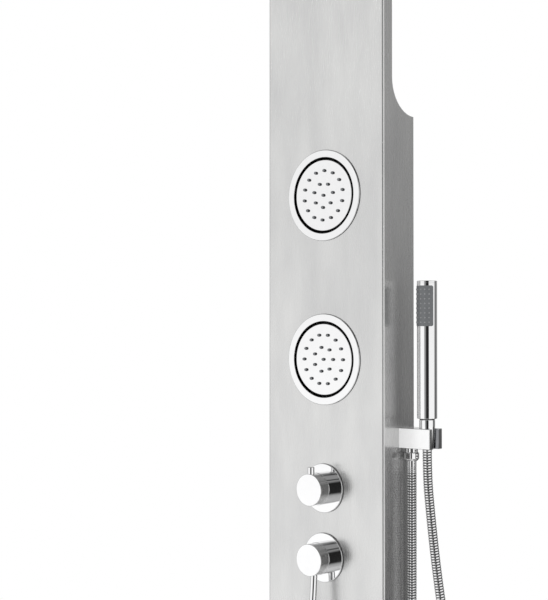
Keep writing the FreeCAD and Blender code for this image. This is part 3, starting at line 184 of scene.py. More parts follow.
def brushed_stainless():
    """304 stainless sheet, brushed up and down on a belt and then lightly buffed: faint vertical
    hairlines, broad soft clouds where the belt pressed harder, and a blurred mirror image of
    what stands beside it. The fine scratches scatter a little of the light all round."""
    material, tree, shader, where = new_material("brushed stainless 304 sheet")
    patterns = []
    # hairlines are about 0.1 mm; these are 0.8 mm wide, as coarse as they need to show
    for size, squeeze, detail in ((0.8 * MM, 0.012, 3), (34 * MM, 0.3, 3), (110 * MM, 0.45, 1)):
        drawn = add(tree, "ShaderNodeMapping", {"Vector": where, "Scale": (1, 1, squeeze)})
        patterns.append(add(tree, NOISE, {"Vector": drawn, "Scale": 1 / size, "Detail": detail}))
    hairline, cloud, sweep = patterns
    clouds = add(tree, MAP, {0: cloud, 1: LOW, 2: HIGH, 3: 0, 4: 0.55})
    sweeps = add(tree, MAP, {0: sweep, 1: LOW, 2: HIGH, 3: 0, 4: 0.45})
    both = add(tree, MATH, {0: clouds, 1: sweeps}, operation="ADD")
    fine = add(tree, MAP, {0: hairline, 1: LOW, 2: HIGH, 3: -0.05, 4: 0.05})
    shade = add(tree, MATH, {0: both, 1: fine}, operation="ADD", use_clamp=True)
    colours = {"Factor": shade, "A": "#cacaca", "B": "#dbdbda"}
    feed(tree, shader, {
        "Metallic": 0.87,
        "Anisotropic": 0.25,
        "Base Color": add(tree, MIX, colours, data_type="RGBA"),
        "Roughness": add(tree, MAP, {0: hairline, 1: LOW, 2: HIGH, 3: 0.22, 4: 0.28}),
    })
    return material


def chrome_plate():
    """Polished chrome on brass: a clear mirror with the faintest polishing haze."""
    material, tree, shader, where = new_material("polished chrome plate")
    haze = add(tree, NOISE, {"Vector": where, "Scale": 1 / (6 * MM), "Detail": 3})
    colours = {"Factor": haze, "A": "#efeff0", "B": "#f5f5f5"}
    feed(tree, shader, {
        "Metallic": 1,
        "Base Color": add(tree, MIX, colours, data_type="RGBA"),
        "Roughness": add(tree, MAP, {0: haze, 1: LOW, 2: HIGH, 3: 0.03, 4: 0.06}),
    })
    return material


def chrome_on_shade_foot():
    """Polished chrome that stands on a slim foot of black rubber. The foot's black is painted
    shade as well: it draws the dark shadow line where a round trim meets the sheet."""
    material, tree, shader, where = new_material("polished chrome on a rubber foot")
    haze = add(tree, NOISE, {"Vector": where, "Scale": 1 / (6 * MM), "Detail": 3})
    foot = add(tree, "ShaderNodeAttribute", attribute_name="foot").outputs["Fac"]
    plate = add(tree, MIX, {"Factor": haze, "A": "#efeff0", "B": "#f5f5f5"}, data_type="RGBA")
    # the rubber's near black also paints the shadow line where the trim meets the sheet
    rubber = add(tree, MIX, {"Factor": haze, "A": "#0b0b0b", "B": "#141414"}, data_type="RGBA")
    feed(tree, shader, {
        "Base Color": add(tree, MIX, {"Factor": foot, "A": plate, "B": rubber}, data_type="RGBA"),
        "Metallic": add(tree, MAP, {0: foot, 1: 0, 2: 1, 3: 1, 4: 0}),
        "Roughness": add(tree, MAP, {0: foot, 1: 0, 2: 1, 3: 0.045, 4: 0.6}),
    })
    return material


def plated_hose():
    """Chromed steel strip wound into a double-locked hose: bright crests, and painted shade in the seams."""
    material, tree, shader, where = new_material("chromed interlock hose strip")
    haze = add(tree, NOISE, {"Vector": where, "Scale": 1 / (3 * MM), "Detail": 3})
    crest = add(tree, "ShaderNodeAttribute", attribute_name="crest").outputs["Fac"]
    # the seam colour is painted shade in the grooves between the ribs
    seam = add(tree, MIX, {"Factor": haze, "A": "#28292a", "B": "#343536"}, data_type="RGBA")
    plate = add(tree, MIX, {"Factor": haze, "A": "#f0f0f1", "B": "#fafafa"}, data_type="RGBA")
    # this share of bright plate fades into the painted seam shade towards the grooves
    plate_share = add(tree, MAP, {0: crest, 1: 0.45, 2: 0.9, 3: 0, 4: 1})
    feed(tree, shader, {
        "Metallic": 1,
        "Base Color": add(tree, MIX, {"Factor": plate_share, "A": seam, "B": plate}, data_type="RGBA"),
        "Roughness": add(tree, MAP, {0: crest, 1: 0.2, 2: 0.8, 3: 0.3, 4: 0.06}),
    })
    return material


def satin_block():
    """Chromed brass block with polished edges. Its front face is blasted to an even satin, so
    it stays pale where a mirror would show the dark side wall. The walls of its socket and its
    slot get a darker plate colour, which is painted shade."""
    material, tree, shader, where = new_material("satin-faced chrome plate")
    haze = add(tree, NOISE, {"Vector": where, "Scale": 1 / (6 * MM), "Detail": 3})
    satin, inside = (add(tree, "ShaderNodeAttribute", attribute_name=name).outputs["Fac"]
                     for name in ("satin", "inside"))
    # the last pair of colours is painted shade for the walls of the socket and the slot
    plate, blasted, painted_socket_shade = (
        add(tree, MIX, {"Factor": haze, "A": dark, "B": light}, data_type="RGBA")
        for dark, light in (("#eaeaeb", "#f2f2f2"), ("#f8f8f8", "#fcfcfc"), ("#86878a", "#97989a")))
    outside = add(tree, MIX, {"Factor": satin, "A": plate, "B": blasted}, data_type="RGBA")
    feed(tree, shader, {
        "Base Color": add(tree, MIX, {"Factor": inside, "A": outside, "B": painted_socket_shade}, data_type="RGBA"),
        "Metallic": add(tree, MAP, {0: satin, 1: 0, 2: 1, 3: 1.0, 4: 0.08}),
        "Roughness": add(tree, MAP, {0: satin, 1: 0, 2: 1, 3: 0.07, 4: 0.4}),
    })
    return material


def zinc_steel():
    """Zinc-plated pressed steel: a cool grey with a faint crystalline bloom."""
    material, tree, shader, where = new_material("zinc-plated steel")
    bloom = add(tree, NOISE, {"Vector": where, "Scale": 1 / (9 * MM), "Detail": 4})
    grain = add(tree, NOISE, {"Vector": where, "Scale": 1 / (0.7 * MM), "Detail": 2})
    colours = {"Factor": bloom, "A": "#b4b8bb", "B": "#cfd2d3"}
    bump = {"Height": grain, "Strength": 0.15, "Distance": 0.02 * MM}
    feed(tree, shader, {
        "Metallic": 1,
        "Base Color": add(tree, MIX, colours, data_type="RGBA"),
        "Roughness": add(tree, MAP, {0: bloom, 1: LOW, 2: HIGH, 3: 0.32, 4: 0.46}),
        "Normal": add(tree, "ShaderNodeBump", bump),
    })
    return material


def stainless_screw():
    """Turned stainless: plain bright heads with fine tool marks."""
    material, tree, shader, where = new_material("turned stainless screws")
    marks = add(tree, NOISE, {"Vector": where, "Scale": 1 / (0.6 * MM), "Detail": 2})
    colours = {"Factor": marks, "A": "#c2c3c4", "B": "#d8d8d8"}
    feed(tree, shader, {
        "Metallic": 1,
        "Base Color": add(tree, MIX, colours, data_type="RGBA"),
        "Roughness": add(tree, MAP, {0: marks, 1: LOW, 2: HIGH, 3: 0.2, 4: 0.32}),
    })
    return material


def forged_brass():
    """Hot-forged brass left raw: yellow metal with a dull sandy skin and darker patches."""
    material, tree, shader, where = new_material("raw forged brass")
    patch = add(tree, NOISE, {"Vector": where, "Scale": 1 / (14 * MM), "Detail": 3})
    sand = add(tree, NOISE, {"Vector": where, "Scale": 1 / (0.8 * MM), "Detail": 2})
    colours = {"Factor": patch, "A": "#c39c54", "B": "#dcbc78"}
    bump = {"Height": sand, "Strength": 0.35, "Distance": 0.05 * MM}
    feed(tree, shader, {
        "Metallic": 1,
        "Base Color": add(tree, MIX, colours, data_type="RGBA"),
        "Roughness": add(tree, MAP, {0: patch, 1: LOW, 2: HIGH, 3: 0.42, 4: 0.3}),
        "Normal": add(tree, "ShaderNodeBump", bump),
    })
    return material


def moulded(name, dark, light, roughness, grain_size, tip_colour=None):
    """Injection-moulded plastic or rubber: an even colour with a fine eroded grain. The tips of
    soft nozzles come out lighter, in the tip colour."""
    material, tree, shader, where = new_material(name)
    cloud = add(tree, NOISE, {"Vector": where, "Scale": 1 / (12 * MM), "Detail": 3})
    grain = add(tree, NOISE, {"Vector": where, "Scale": 1 / grain_size, "Detail": 2})
    colour = add(tree, MIX, {"Factor": cloud, "A": dark, "B": light}, data_type="RGBA")
    if tip_colour:
        tip = add(tree, "ShaderNodeAttribute", attribute_name="tip").outputs["Fac"]
        colour = add(tree, MIX, {"Factor": tip, "A": colour, "B": tip_colour}, data_type="RGBA")
    rough = {0: grain, 1: LOW, 2: HIGH, 3: roughness - 0.05, 4: roughness + 0.07}
    bump = {"Height": grain, "Strength": 0.2, "Distance": 0.03 * MM}
    feed(tree, shader, {
        "Base Color": colour,
        "Roughness": add(tree, MAP, rough),
        "Normal": add(tree, "ShaderNodeBump", bump),
    })
    return material


def steel_braid():
    """Stainless wire braided over a rubber hose: a grey skin of crossing plaits."""
    material, tree, shader, where = new_material("stainless wire braid")
    plaits = []
    for lean in (0.9, -0.9):
        turned = add(tree, "ShaderNodeMapping", {"Vector": where, "Rotation": (0, lean, 0)})
        wave = add(tree, "ShaderNodeTexWave", {"Vector": turned, "Scale": 1 / (10 * MM)},
                   bands_direction="Z")
        plaits.append(wave.outputs["Fac"])
    weave = add(tree, MATH, dict(enumerate(plaits)), operation="MAXIMUM")
    colours = {"Factor": weave, "A": "#6e7072", "B": "#c9cbcc"}
    bump = {"Height": weave, "Strength": 0.6, "Distance": 0.3 * MM}
    feed(tree, shader, {
        "Metallic": 1,
        "Base Color": add(tree, MIX, colours, data_type="RGBA"),
        "Roughness": add(tree, MAP, {0: weave, 1: 0, 2: 1, 3: 0.55, 4: 0.28}),
        "Normal": add(tree, "ShaderNodeBump", bump),
    })
    return material


FINISHES = {
    "brushed_steel": brushed_stainless(),
    "chrome": chrome_plate(),
    "hose_metal": plated_hose(),
    "bracket_steel": zinc_steel(),
    "bright_screws": stainless_screw(),
    "brass": forged_brass(),
    "white_plastic": moulded("white acetal", "#dcdcd6", "#e9e9e4", 0.42, 0.5 * MM),
    "black_plastic": moulded("black ABS housing", "#101112", "#181919", 0.5, 0.5 * MM),
    "black_rubber": moulded("black EPDM seal", "#141414", "#1f1f1f", 0.6, 0.4 * MM),
    "dark_rubber": moulded("dark grey pad rubber", "#636567", "#6e7072", 0.5, 0.5 * MM, "#9c9d9e"),
    "grey_silicone": moulded("grey nozzle silicone", "#303234", "#3b3d3f", 0.4, 0.4 * MM, "#77797c"),
    "braided_hose": steel_braid(),
}
SATIN_BLOCK = satin_block()
CHROME_ON_SHADE_FOOT = chrome_on_shade_foot()
MATERIAL_OF_NODE = {node: FINISHES.get(slot, FINISHES["white_plastic"])
                    for node, slot in SLOTS.items()}
MATERIAL_OF_NODE["holder_block"] = SATIN_BLOCK
# These trims stand on the rubber foot, whose black paints the shadow line at their joint.
FOOTED_NODES = ("jet_ring_upper", "jet_ring_lower", "diverter_escutcheon", "mixer_escutcheon",
                "cone_nut")
for footed in FOOTED_NODES:
    MATERIAL_OF_NODE[footed] = CHROME_ON_SHADE_FOOT


# ------------------------------------------------------------------ making pieces
ARC_STEPS = 5  # straight steps in a rounded corner
TURNED_SIDES = 128
SMALL_SIDES = 48  # of pins and screws
SHARP = 30  # degrees over which an edge of a hard piece stays sharp
SOFT_SHARP = 50  # the same in rubber
NEAR = 0.01 * MM


def new_piece(name, mesh, material, sharp=SHARP):
    """An object at the origin with its mesh, smooth but for edges over sharp degrees. Its
    large faces set the direction of the smoothed light."""
    mesh.shade_smooth()
    mesh.set_sharp_from_angle(angle=math.radians(sharp))
    mesh.materials.clear()
    mesh.materials.append(material)
    piece = bpy.data.objects.new(name, mesh)
    bpy.context.scene.collection.objects.link(piece)
    weighted = piece.modifiers.new("weighted", "WEIGHTED_NORMAL")
    weighted.mode = "FACE_AREA"
    weighted.keep_sharp = True
    piece.data = evaluated_mesh(piece, name)
    piece.modifiers.clear()
    return piece


def take_place(piece, *nodes):
    """The piece stands for these nodes: it rides on their body and hides them; its maker gives it their
    finish.
    """
    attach(piece, NODES[nodes[0]]["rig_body"])
    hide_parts(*nodes)
    return piece


def evaluated_mesh(thing, name):
    """The plain mesh that an object has once its modifiers have run."""
    bpy.context.view_layer.update()
    result = thing.evaluated_get(bpy.context.evaluated_depsgraph_get())
    mesh = bpy.data.meshes.new_from_object(result)
    mesh.name = name
    return mesh


def rounded(outline):
    """The (radius, place) points of an outline. A corner is (radius, place), or
    (radius, place, rounding) where a short arc replaces it."""
    points = []
    for i, corner in enumerate(outline):
        here = Vector((corner[0], 0, corner[1]))
        if len(corner) == 2:
            points.append(here)
            continue
        before, after = outline[i - 1], outline[(i + 1) % len(outline)]
        into = (here - Vector((before[0], 0, before[1]))).normalized()
        out = (Vector((after[0], 0, after[1])) - here).normalized()
        half = into.angle(out) / 2
        reach = corner[2] * math.tan(half)
        centre = here + (out - into).normalized() * (corner[2] / math.cos(half))
        start = (here - into * reach - centre).normalized()
        end = (here + out * reach - centre).normalized()
        for k in range(ARC_STEPS + 1):
            points.append(centre + start.slerp(end, k / ARC_STEPS) * corner[2])
    return [(point.x, point.z) for point in points]


def turned_mesh(name, origin, axis, outline, sides=TURNED_SIDES, flats=None):
    """The mesh of an outline turned about an axis. flats is the half width across six flats
    that are milled into it."""
    axis = Vector(axis).normalized()
    across = axis.cross(Vector((1, 0, 0))).normalized()
    upward = axis.cross(across)
    points = rounded(outline)
    shape = bmesh.new()
    rings = []
    for radius, place in points:
        on_axis = Vector(origin) + axis * place
        if radius < 1e-7:
            rings.append([shape.verts.new(on_axis)])
            continue
        ring = []
        for side in range(sides):
            angle = math.tau * side / sides
            reach = radius
            if flats:
                off_flat = (angle + math.pi / 6) % (math.pi / 3) - math.pi / 6
                reach = min(radius, flats / math.cos(off_flat))
            way = across * math.cos(angle) + upward * math.sin(angle)
            ring.append(shape.verts.new(on_axis + way * reach))
        rings.append(ring)
    spans = list(zip(rings, rings[1:]))
    if len(rings[0]) > 1:
        spans.append((rings[-1], rings[0]))
    for low, high in spans:
        for side in range(sides):
            after = (side + 1) % sides
            if len(low) == 1:
                corners = [low[0], high[side], high[after]]
            elif len(high) == 1:
                corners = [low[side], high[0], low[after]]
            else:
                corners = [low[side], high[side], high[after], low[after]]
            shape.faces.new(corners)
    bmesh.ops.recalc_face_normals(shape, faces=shape.faces)
    mesh = bpy.data.meshes.new(name)
    shape.to_mesh(mesh)
    shape.free()
    return mesh


def mark(mesh, attribute, value_of, domain="POINT"):
    """Store a number for each vertex or face, which materials can read."""
    layer = mesh.attributes.new(attribute, "FLOAT", domain)
    parts = mesh.vertices if domain == "POINT" else mesh.polygons
    layer.data.foreach_set("value", [value_of(part) for part in parts])


def turned_piece(name, node, origin, axis, outline, sides=TURNED_SIDES, flats=None):
    """A turned part that takes the place of a node."""
    mesh = turned_mesh(name, origin, axis, outline, sides, flats)
    return take_place(new_piece(name, mesh, MATERIAL_OF_NODE[node]), node)


def footed_piece(name, node, origin, axis, outline, is_rubber):
    """A turned part with a rubber ring under or on it, whose points is_rubber tells."""
    mesh = turned_mesh(name, origin, axis, outline)
    mark(mesh, "foot", lambda vert: float(is_rubber(vert.co)))
    return take_place(new_piece(name, mesh, CHROME_ON_SHADE_FOOT), node)


def in_foot(place):
    """Whether a point of a round trim belongs to the rubber between it and the casing."""
    return place.y > FRONT - FOOT - NEAR


def joined(name, meshes):
    """One mesh out of several."""
    shape = bmesh.new()
    for mesh in meshes:
        shape.from_mesh(mesh)
    whole = bpy.data.meshes.new(name)
    shape.to_mesh(whole)
    shape.free()
    return whole


def give_nodes(thing, tree, values):
    """Put a geometry tree on an object, with its named inputs set by their identifiers."""
    modifier = thing.modifiers.new(tree.name, "NODES")
    modifier.node_group = tree
    for socket in tree.interface.items_tree:
        if socket.item_type == "SOCKET" and socket.in_out == "INPUT" and socket.name in values:
            modifier[socket.identifier] = values[socket.name]
    return modifier


def repeated(name, mesh, tree, values):
    """The mesh that a geometry tree makes out of another."""
    pattern = bpy.data.objects.new(name, mesh)
    bpy.context.scene.collection.objects.link(pattern)
    modifier = give_nodes(pattern, tree, values)
    result = evaluated_mesh(pattern, name)
    pattern.modifiers.remove(modifier)
    bpy.data.objects.remove(pattern)
    return result


def geometry_tree(name, inputs):
    """A geometry tree with its named inputs, its group input node and an output maker."""
    tree = bpy.data.node_groups.new(name, "GeometryNodeTree")
    face = tree.interface
    face.new_socket("Geometry", in_out="OUTPUT", socket_type="NodeSocketGeometry")
    face.new_socket("Geometry", in_out="INPUT", socket_type="NodeSocketGeometry")
    for label, kind in inputs.items():
        face.new_socket(label, in_out="INPUT", socket_type=f"NodeSocket{kind}")
    return tree, add(tree, "NodeGroupInput").outputs


def finish_tree(tree, geometry, material):
    """Realize the copies, give them their material and send them out."""
    whole = add(tree, "GeometryNodeRealizeInstances", {"Geometry": geometry})
    done = add(tree, "GeometryNodeSetMaterial", {"Geometry": whole, "Material": material})
    add(tree, "NodeGroupOutput", {0: done})
    return tree


def circles_tree():
    """Copies on widening circles in the XY plane. Each circle holds as many more as the first
    one has, and one more copy may stand in the middle."""
    tree, given = geometry_tree("copies on circles", {
        "First count": "Int", "Circles": "Int", "First radius": "Float", "Step": "Float",
        "Middle": "Int", "Turn": "Float", "Finish": "Material"})
    first, middle_one = given["First count"], given["Middle"]
    many = add(tree, MATH, {0: given["Circles"], 1: 1.0}, operation="ADD")
    pairs = add(tree, MATH, {0: given["Circles"], 1: many}, operation="MULTIPLY")
    half = add(tree, MATH, {0: pairs, 1: 0.5}, operation="MULTIPLY")
    count = add(tree, MATH, {0: half, 1: first, 2: middle_one}, operation="MULTIPLY_ADD")
    points = add(tree, "GeometryNodePoints", {"Count": count})
    index = add(tree, "GeometryNodeInputIndex")
    place = add(tree, MATH, {0: index, 1: middle_one}, operation="SUBTRACT")
    outside = add(tree, MATH, {0: place, 1: -0.5}, operation="GREATER_THAN")
    counted = add(tree, MATH, {0: place, 1: 0.0}, operation="MAXIMUM")
    shares = add(tree, MATH, {0: counted, 1: first}, operation="DIVIDE")
    # circle k starts at share k (k - 1) / 2, so k is the whole part of (1 + root) / 2
    under_root = add(tree, MATH, {0: shares, 1: 8.0, 2: 1.01}, operation="MULTIPLY_ADD")
    root = add(tree, MATH, {0: under_root}, operation="SQRT")
    root_and_one = add(tree, MATH, {0: root, 1: 1.0}, operation="ADD")
    half_root = add(tree, MATH, {0: root_and_one, 1: 0.5}, operation="MULTIPLY")
    circle = add(tree, MATH, {0: half_root}, operation="FLOOR")
    inner = add(tree, MATH, {0: circle, 1: 1.0}, operation="SUBTRACT")
    product = add(tree, MATH, {0: circle, 1: inner}, operation="MULTIPLY")
    passed = add(tree, MATH, {0: product, 1: 0.5}, operation="MULTIPLY")
    rest = add(tree, MATH, {0: shares, 1: passed}, operation="SUBTRACT")
    part = add(tree, MATH, {0: rest, 1: circle}, operation="DIVIDE")
    angle = add(tree, MATH, {0: part, 1: math.tau, 2: given["Turn"]}, operation="MULTIPLY_ADD")
    wide = add(tree, MATH, {0: inner, 1: given["Step"], 2: given["First radius"]},
               operation="MULTIPLY_ADD")
    radius = add(tree, MATH, {0: wide, 1: outside}, operation="MULTIPLY")
    cosine = add(tree, MATH, {0: angle}, operation="COSINE")
    sine = add(tree, MATH, {0: angle}, operation="SINE")
    east = add(tree, MATH, {0: radius, 1: cosine}, operation="MULTIPLY")
    north = add(tree, MATH, {0: radius, 1: sine}, operation="MULTIPLY")
    spot = add(tree, "ShaderNodeCombineXYZ", {0: east, 1: north})
    placed = add(tree, "GeometryNodeSetPosition", {"Geometry": points, "Position": spot})
    copies = add(tree, "GeometryNodeInstanceOnPoints",
                 {"Points": placed, "Instance": given["Geometry"]})
    return finish_tree(tree, copies, given["Finish"])


def barrel_tree():
    """Copies in rows and columns round an upright barrel, about its front line."""
    tree, given = geometry_tree("copies round a barrel", {
        "Columns": "Int", "Rows": "Int", "Radius": "Float", "Column angle": "Float",
        "Row pitch": "Float", "Finish": "Material"})
    columns, rows = given["Columns"], given["Rows"]
    count = add(tree, MATH, {0: columns, 1: rows}, operation="MULTIPLY")
    points = add(tree, "GeometryNodePoints", {"Count": count})
    index = add(tree, "GeometryNodeInputIndex")
    whole_rows = add(tree, MATH, {0: index, 1: columns}, operation="DIVIDE")
    row = add(tree, MATH, {0: whole_rows}, operation="FLOOR")
    column = add(tree, MATH, {0: index, 1: columns}, operation="MODULO")
    last_column = add(tree, MATH, {0: columns, 1: 1.0}, operation="SUBTRACT")
    last_row = add(tree, MATH, {0: rows, 1: 1.0}, operation="SUBTRACT")
    aside = add(tree, MATH, {0: last_column, 1: -0.5, 2: column}, operation="MULTIPLY_ADD")
    above = add(tree, MATH, {0: last_row, 1: -0.5, 2: row}, operation="MULTIPLY_ADD")
    angle = add(tree, MATH, {0: aside, 1: given["Column angle"]}, operation="MULTIPLY")
    height = add(tree, MATH, {0: above, 1: given["Row pitch"]}, operation="MULTIPLY")
    sine = add(tree, MATH, {0: angle}, operation="SINE")
    cosine = add(tree, MATH, {0: angle}, operation="COSINE")
    east = add(tree, MATH, {0: given["Radius"], 1: sine}, operation="MULTIPLY")
    front = add(tree, MATH, {0: given["Radius"], 1: cosine}, operation="MULTIPLY")
    behind = add(tree, MATH, {0: front, 1: -1.0}, operation="MULTIPLY")
    spot = add(tree, "ShaderNodeCombineXYZ", {0: east, 1: behind, 2: height})
    placed = add(tree, "GeometryNodeSetPosition", {"Geometry": points, "Position": spot})
    facing = add(tree, "ShaderNodeCombineXYZ", {2: angle})
    copies = add(tree, "GeometryNodeInstanceOnPoints",
                 {"Points": placed, "Instance": given["Geometry"], "Rotation": facing})
    return finish_tree(tree, copies, given["Finish"])


def grid_tree():
    """Copies on the corners of an upright grid in the XY plane."""
    tree, given = geometry_tree("copies on a grid", {
        "Width": "Float", "Height": "Float", "Columns": "Int", "Rows": "Int",
        "Finish": "Material"})
    grid = add(tree, "GeometryNodeMeshGrid", {
        "Size X": given["Width"], "Size Y": given["Height"],
        "Vertices X": given["Columns"], "Vertices Y": given["Rows"]})
    copies = add(tree, "GeometryNodeInstanceOnPoints",
                 {"Points": grid, "Instance": given["Geometry"]})
    return finish_tree(tree, copies, given["Finish"])


CIRCLES = circles_tree()
BARREL = barrel_tree()
GRID = grid_tree()


def nozzle_mesh(base, height, tip_share=0.76, sides=20):
    """A soft nozzle that stands up along Z: a cone with a rounded rim and a dimple."""
    tip = base * tip_share
    hole = base * 0.3
    mesh = turned_mesh("nozzle", (0, 0, 0), (0, 0, 1), [
        (0, -0.2 * MM),
        (base, -0.2 * MM),
        (tip, height, 0.3 * base),
        (hole, height, 0.1 * base),
        (hole, height - 0.6 * hole),
        (0, height - 0.6 * hole),
    ], sides)
    mark(mesh, "tip", lambda vert: float(vert.co.z > height * 0.8))
    return mesh


# ------------------------------------------------------------------ turned fittings
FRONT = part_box("diverter_escutcheon")[1].y  # the casing's front face
# the black of this rubber paints the shadow line where a round trim meets the sheet
FOOT = 1.1 * MM  # thickness of the rubber under a round trim
WASHER = 1.3 * MM  # thickness of the rubber between the conical nut and the stick
RING_BAND = 11 * MM
SLEEVE_WALL = 2 * MM
DISC_PLATE = 3.2 * MM  # thickness of a spray disc's front
DISC_SKIRT = 3 * MM  # thickness of its side wall
DISC_BACK = 2.5 * MM  # thickness of its back
DISC_NECK = 6.6 * MM  # radius of the hole in its back
JET_TURNS = {"upper": 10, "lower": 0}  # degrees that a spray disc stands turned
JET_CIRCLES = {"First count": 7, "Circles": 2, "First radius": 18.2 * MM, "Step": 18.7 * MM,
               "Middle": 1}
JET_NOZZLE = 2.4 * MM  # radius at its foot
JET_NOZZLE_EXTRA = 1 * MM  # how much further out it stands than in the CAD
VALVE_TUBE = 17.1 * MM  # bore of the escutcheon and of the collar's front
COLLAR_ROOM = 22.1 * MM  # bore of the collar behind its front
COLLAR_FRONT = 3 * MM  # thickness of the collar's front
CAP_WALL = 2.4 * MM  # thickness of a knob's side wall
CAP_FACE = 3.5 * MM  # thickness of its front
CAP_HUB = 9 * MM  # radius
STEM_ROOM = 5 * MM  # radius of the hub's bore
PAD_GRID = {"Columns": 5, "Rows": 8, "Column angle": math.radians(23), "Row pitch": 6.8 * MM}
PAD_PROUD = 0.5 * MM
PAD_SINK = 0.3 * MM  # how far the pad's border lies inside the stick
PAD_HALF_TURN = math.radians(72.7)
PAD_BORDER = 1.2 * MM
PAD_CORNER = 3 * MM
RAIN_BAND = 10 * MM  # width of the ring's face
RAIN_SLEEVE = 6 * MM  # how far the ring reaches into the arm
RAIN_PLATE = 2 * MM  # wall
RAIN_NOZZLE = 2 * MM  # radius at its foot
RAIN_STEP = 19.875 * MM
RAIN_CIRCLES = {"First count": 8, "Circles": 4, "First radius": RAIN_STEP, "Step": RAIN_STEP,
                "Middle": 0, "Turn": 0.0}


def half_width(node):
    low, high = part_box(node)
    return (high.x - low.x) / 2


def jet_fittings(level):
    """Trim ring, spray disc and nozzles of a body jet."""
    ring, disc, rubber = (f"jet_{part}_{level}" for part in ("ring", "disc", "nozzles"))
    origin = (middle(ring).x, 0, middle(ring).z)
    radius, bore = half_width(ring), half_width(ring) - RING_BAND
    face, sleeve_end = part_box(ring)[0].y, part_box(ring)[1].y
    footed_piece(f"trim_ring_{level}", ring, origin, (0, 1, 0), [
        (bore, sleeve_end),
        (bore, face, 0.5 * MM),
        (radius, face, 1.2 * MM),
        (radius, FRONT - FOOT - 0.1 * MM),
        (radius - 0.1 * MM, FRONT - FOOT),
        (radius - 0.1 * MM, FRONT),
        (bore + SLEEVE_WALL, FRONT),
        (bore + SLEEVE_WALL, sleeve_end),
    ], lambda place: in_foot(place) and place.y < FRONT + NEAR)
    plate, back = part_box(disc)[0].y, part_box(disc)[1].y
    rim = half_width(disc)
    turned_piece(f"spray_disc_{level}", disc, origin, (0, 1, 0), [
        (0, plate),
        (rim, plate, 0.8 * MM),
        (rim, back, 0.4 * MM),
        (DISC_NECK, back, 0.3 * MM),
        (DISC_NECK, back - DISC_BACK),
        (rim - DISC_SKIRT, back - DISC_BACK),
        (rim - DISC_SKIRT, plate + DISC_PLATE),
        (0, plate + DISC_PLATE),
    ])
    stands_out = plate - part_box(rubber)[0].y
    nozzle = nozzle_mesh(JET_NOZZLE, stands_out + JET_NOZZLE_EXTRA, 0.86)
    nozzles = repeated(f"nozzles_{level}", nozzle, CIRCLES, {
        **JET_CIRCLES,
        "Turn": math.radians(JET_TURNS[level]),
        "Finish": MATERIAL_OF_NODE[rubber],
    })
    forwards = Matrix.Rotation(math.pi / 2, 4, "X")
    nozzles.transform(Matrix.Translation((origin[0], plate, origin[2])) @ forwards)
    take_place(new_piece(f"jet_nozzles_soft_{level}", nozzles, MATERIAL_OF_NODE[rubber], SOFT_SHARP), rubber)


def valve_fittings(valve):
    """Escutcheon, collar and knob in front of a valve."""
    escutcheon, collar, knob = (f"{valve}_{part}" for part in ("escutcheon", "collar", "knob"))
    origin = (middle(knob).x, 0, middle(escutcheon).z)
    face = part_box(escutcheon)[0].y
    radius = half_width(escutcheon)
    footed_piece(f"wall_rosette_{valve}", escutcheon, origin, (0, 1, 0), [
        (VALVE_TUBE, FRONT),
        (VALVE_TUBE, face),
        (radius, face, 0.9 * MM),
        (radius, FRONT - FOOT - 0.1 * MM),
        (radius - 0.1 * MM, FRONT - FOOT),
        (radius - 0.1 * MM, FRONT),
    ], in_foot)
    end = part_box(collar)[0].y
    turned_piece(f"fixed_collar_{valve}", collar, origin, (0, 1, 0), [
        (COLLAR_ROOM, face),
        (half_width(collar), face),
        (half_width(collar), end, 0.6 * MM),
        (VALVE_TUBE, end),
        (VALVE_TUBE, end + COLLAR_FRONT),
        (COLLAR_ROOM, end + COLLAR_FRONT),
    ])
    front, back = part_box(knob)[0].y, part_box(knob)[1].y
    radius = half_width(knob)
    turned_piece(f"turning_cap_{valve}", knob, origin, (0, 1, 0), [
        (0, front),
        (radius, front, 0.7 * MM),
        (radius, back, 0.3 * MM),
        (radius - CAP_WALL, back, 0.3 * MM),
        (radius - CAP_WALL, front + CAP_FACE, 1 * MM),
        (CAP_HUB, front + CAP_FACE),
        (CAP_HUB, back - 1 * MM),
        (STEM_ROOM, back - 1 * MM),
        (STEM_ROOM, front + CAP_FACE),
        (0, front + CAP_FACE),
    ])


HOSE_END_BORE = 4.2 * MM
ROD_RADIUS = 5.1 * MM
LEVER_LEAN = math.radians(4.4)  # outwards


def rods():
    """The diverter's pin and the mixer's long lever, both round with a soft end."""
    low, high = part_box("diverter_pin")
    turned_piece("pin", "diverter_pin", (0, middle("diverter_pin").y, 0), (0, 0, 1), [
        (0, low.z),
        (ROD_RADIUS, low.z),
        (ROD_RADIUS, high.z, 0.8 * MM),
        (0, high.z),
    ], SMALL_SIDES)
    low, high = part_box("mixer_lever")
    radius = (high.x - low.x) / 2
    lean = LEVER_LEAN
    way = Vector((0, -math.sin(lean), -math.cos(lean)))
    tip = Vector((0, low.y + radius * math.cos(lean), low.z + radius * math.sin(lean)))
    length = (high.z - radius * math.sin(lean) - tip.z) / math.cos(lean)
    turned_piece("long_lever", "mixer_lever", tip, -way, [
        (0, 0),
        (ROD_RADIUS, 0, 1.2 * MM),
        (ROD_RADIUS, length),
        (0, length),
    ], SMALL_SIDES)


def upright(node):
    """An upright axis through the middle of a node."""
    return (middle(node).x, middle(node).y, 0)


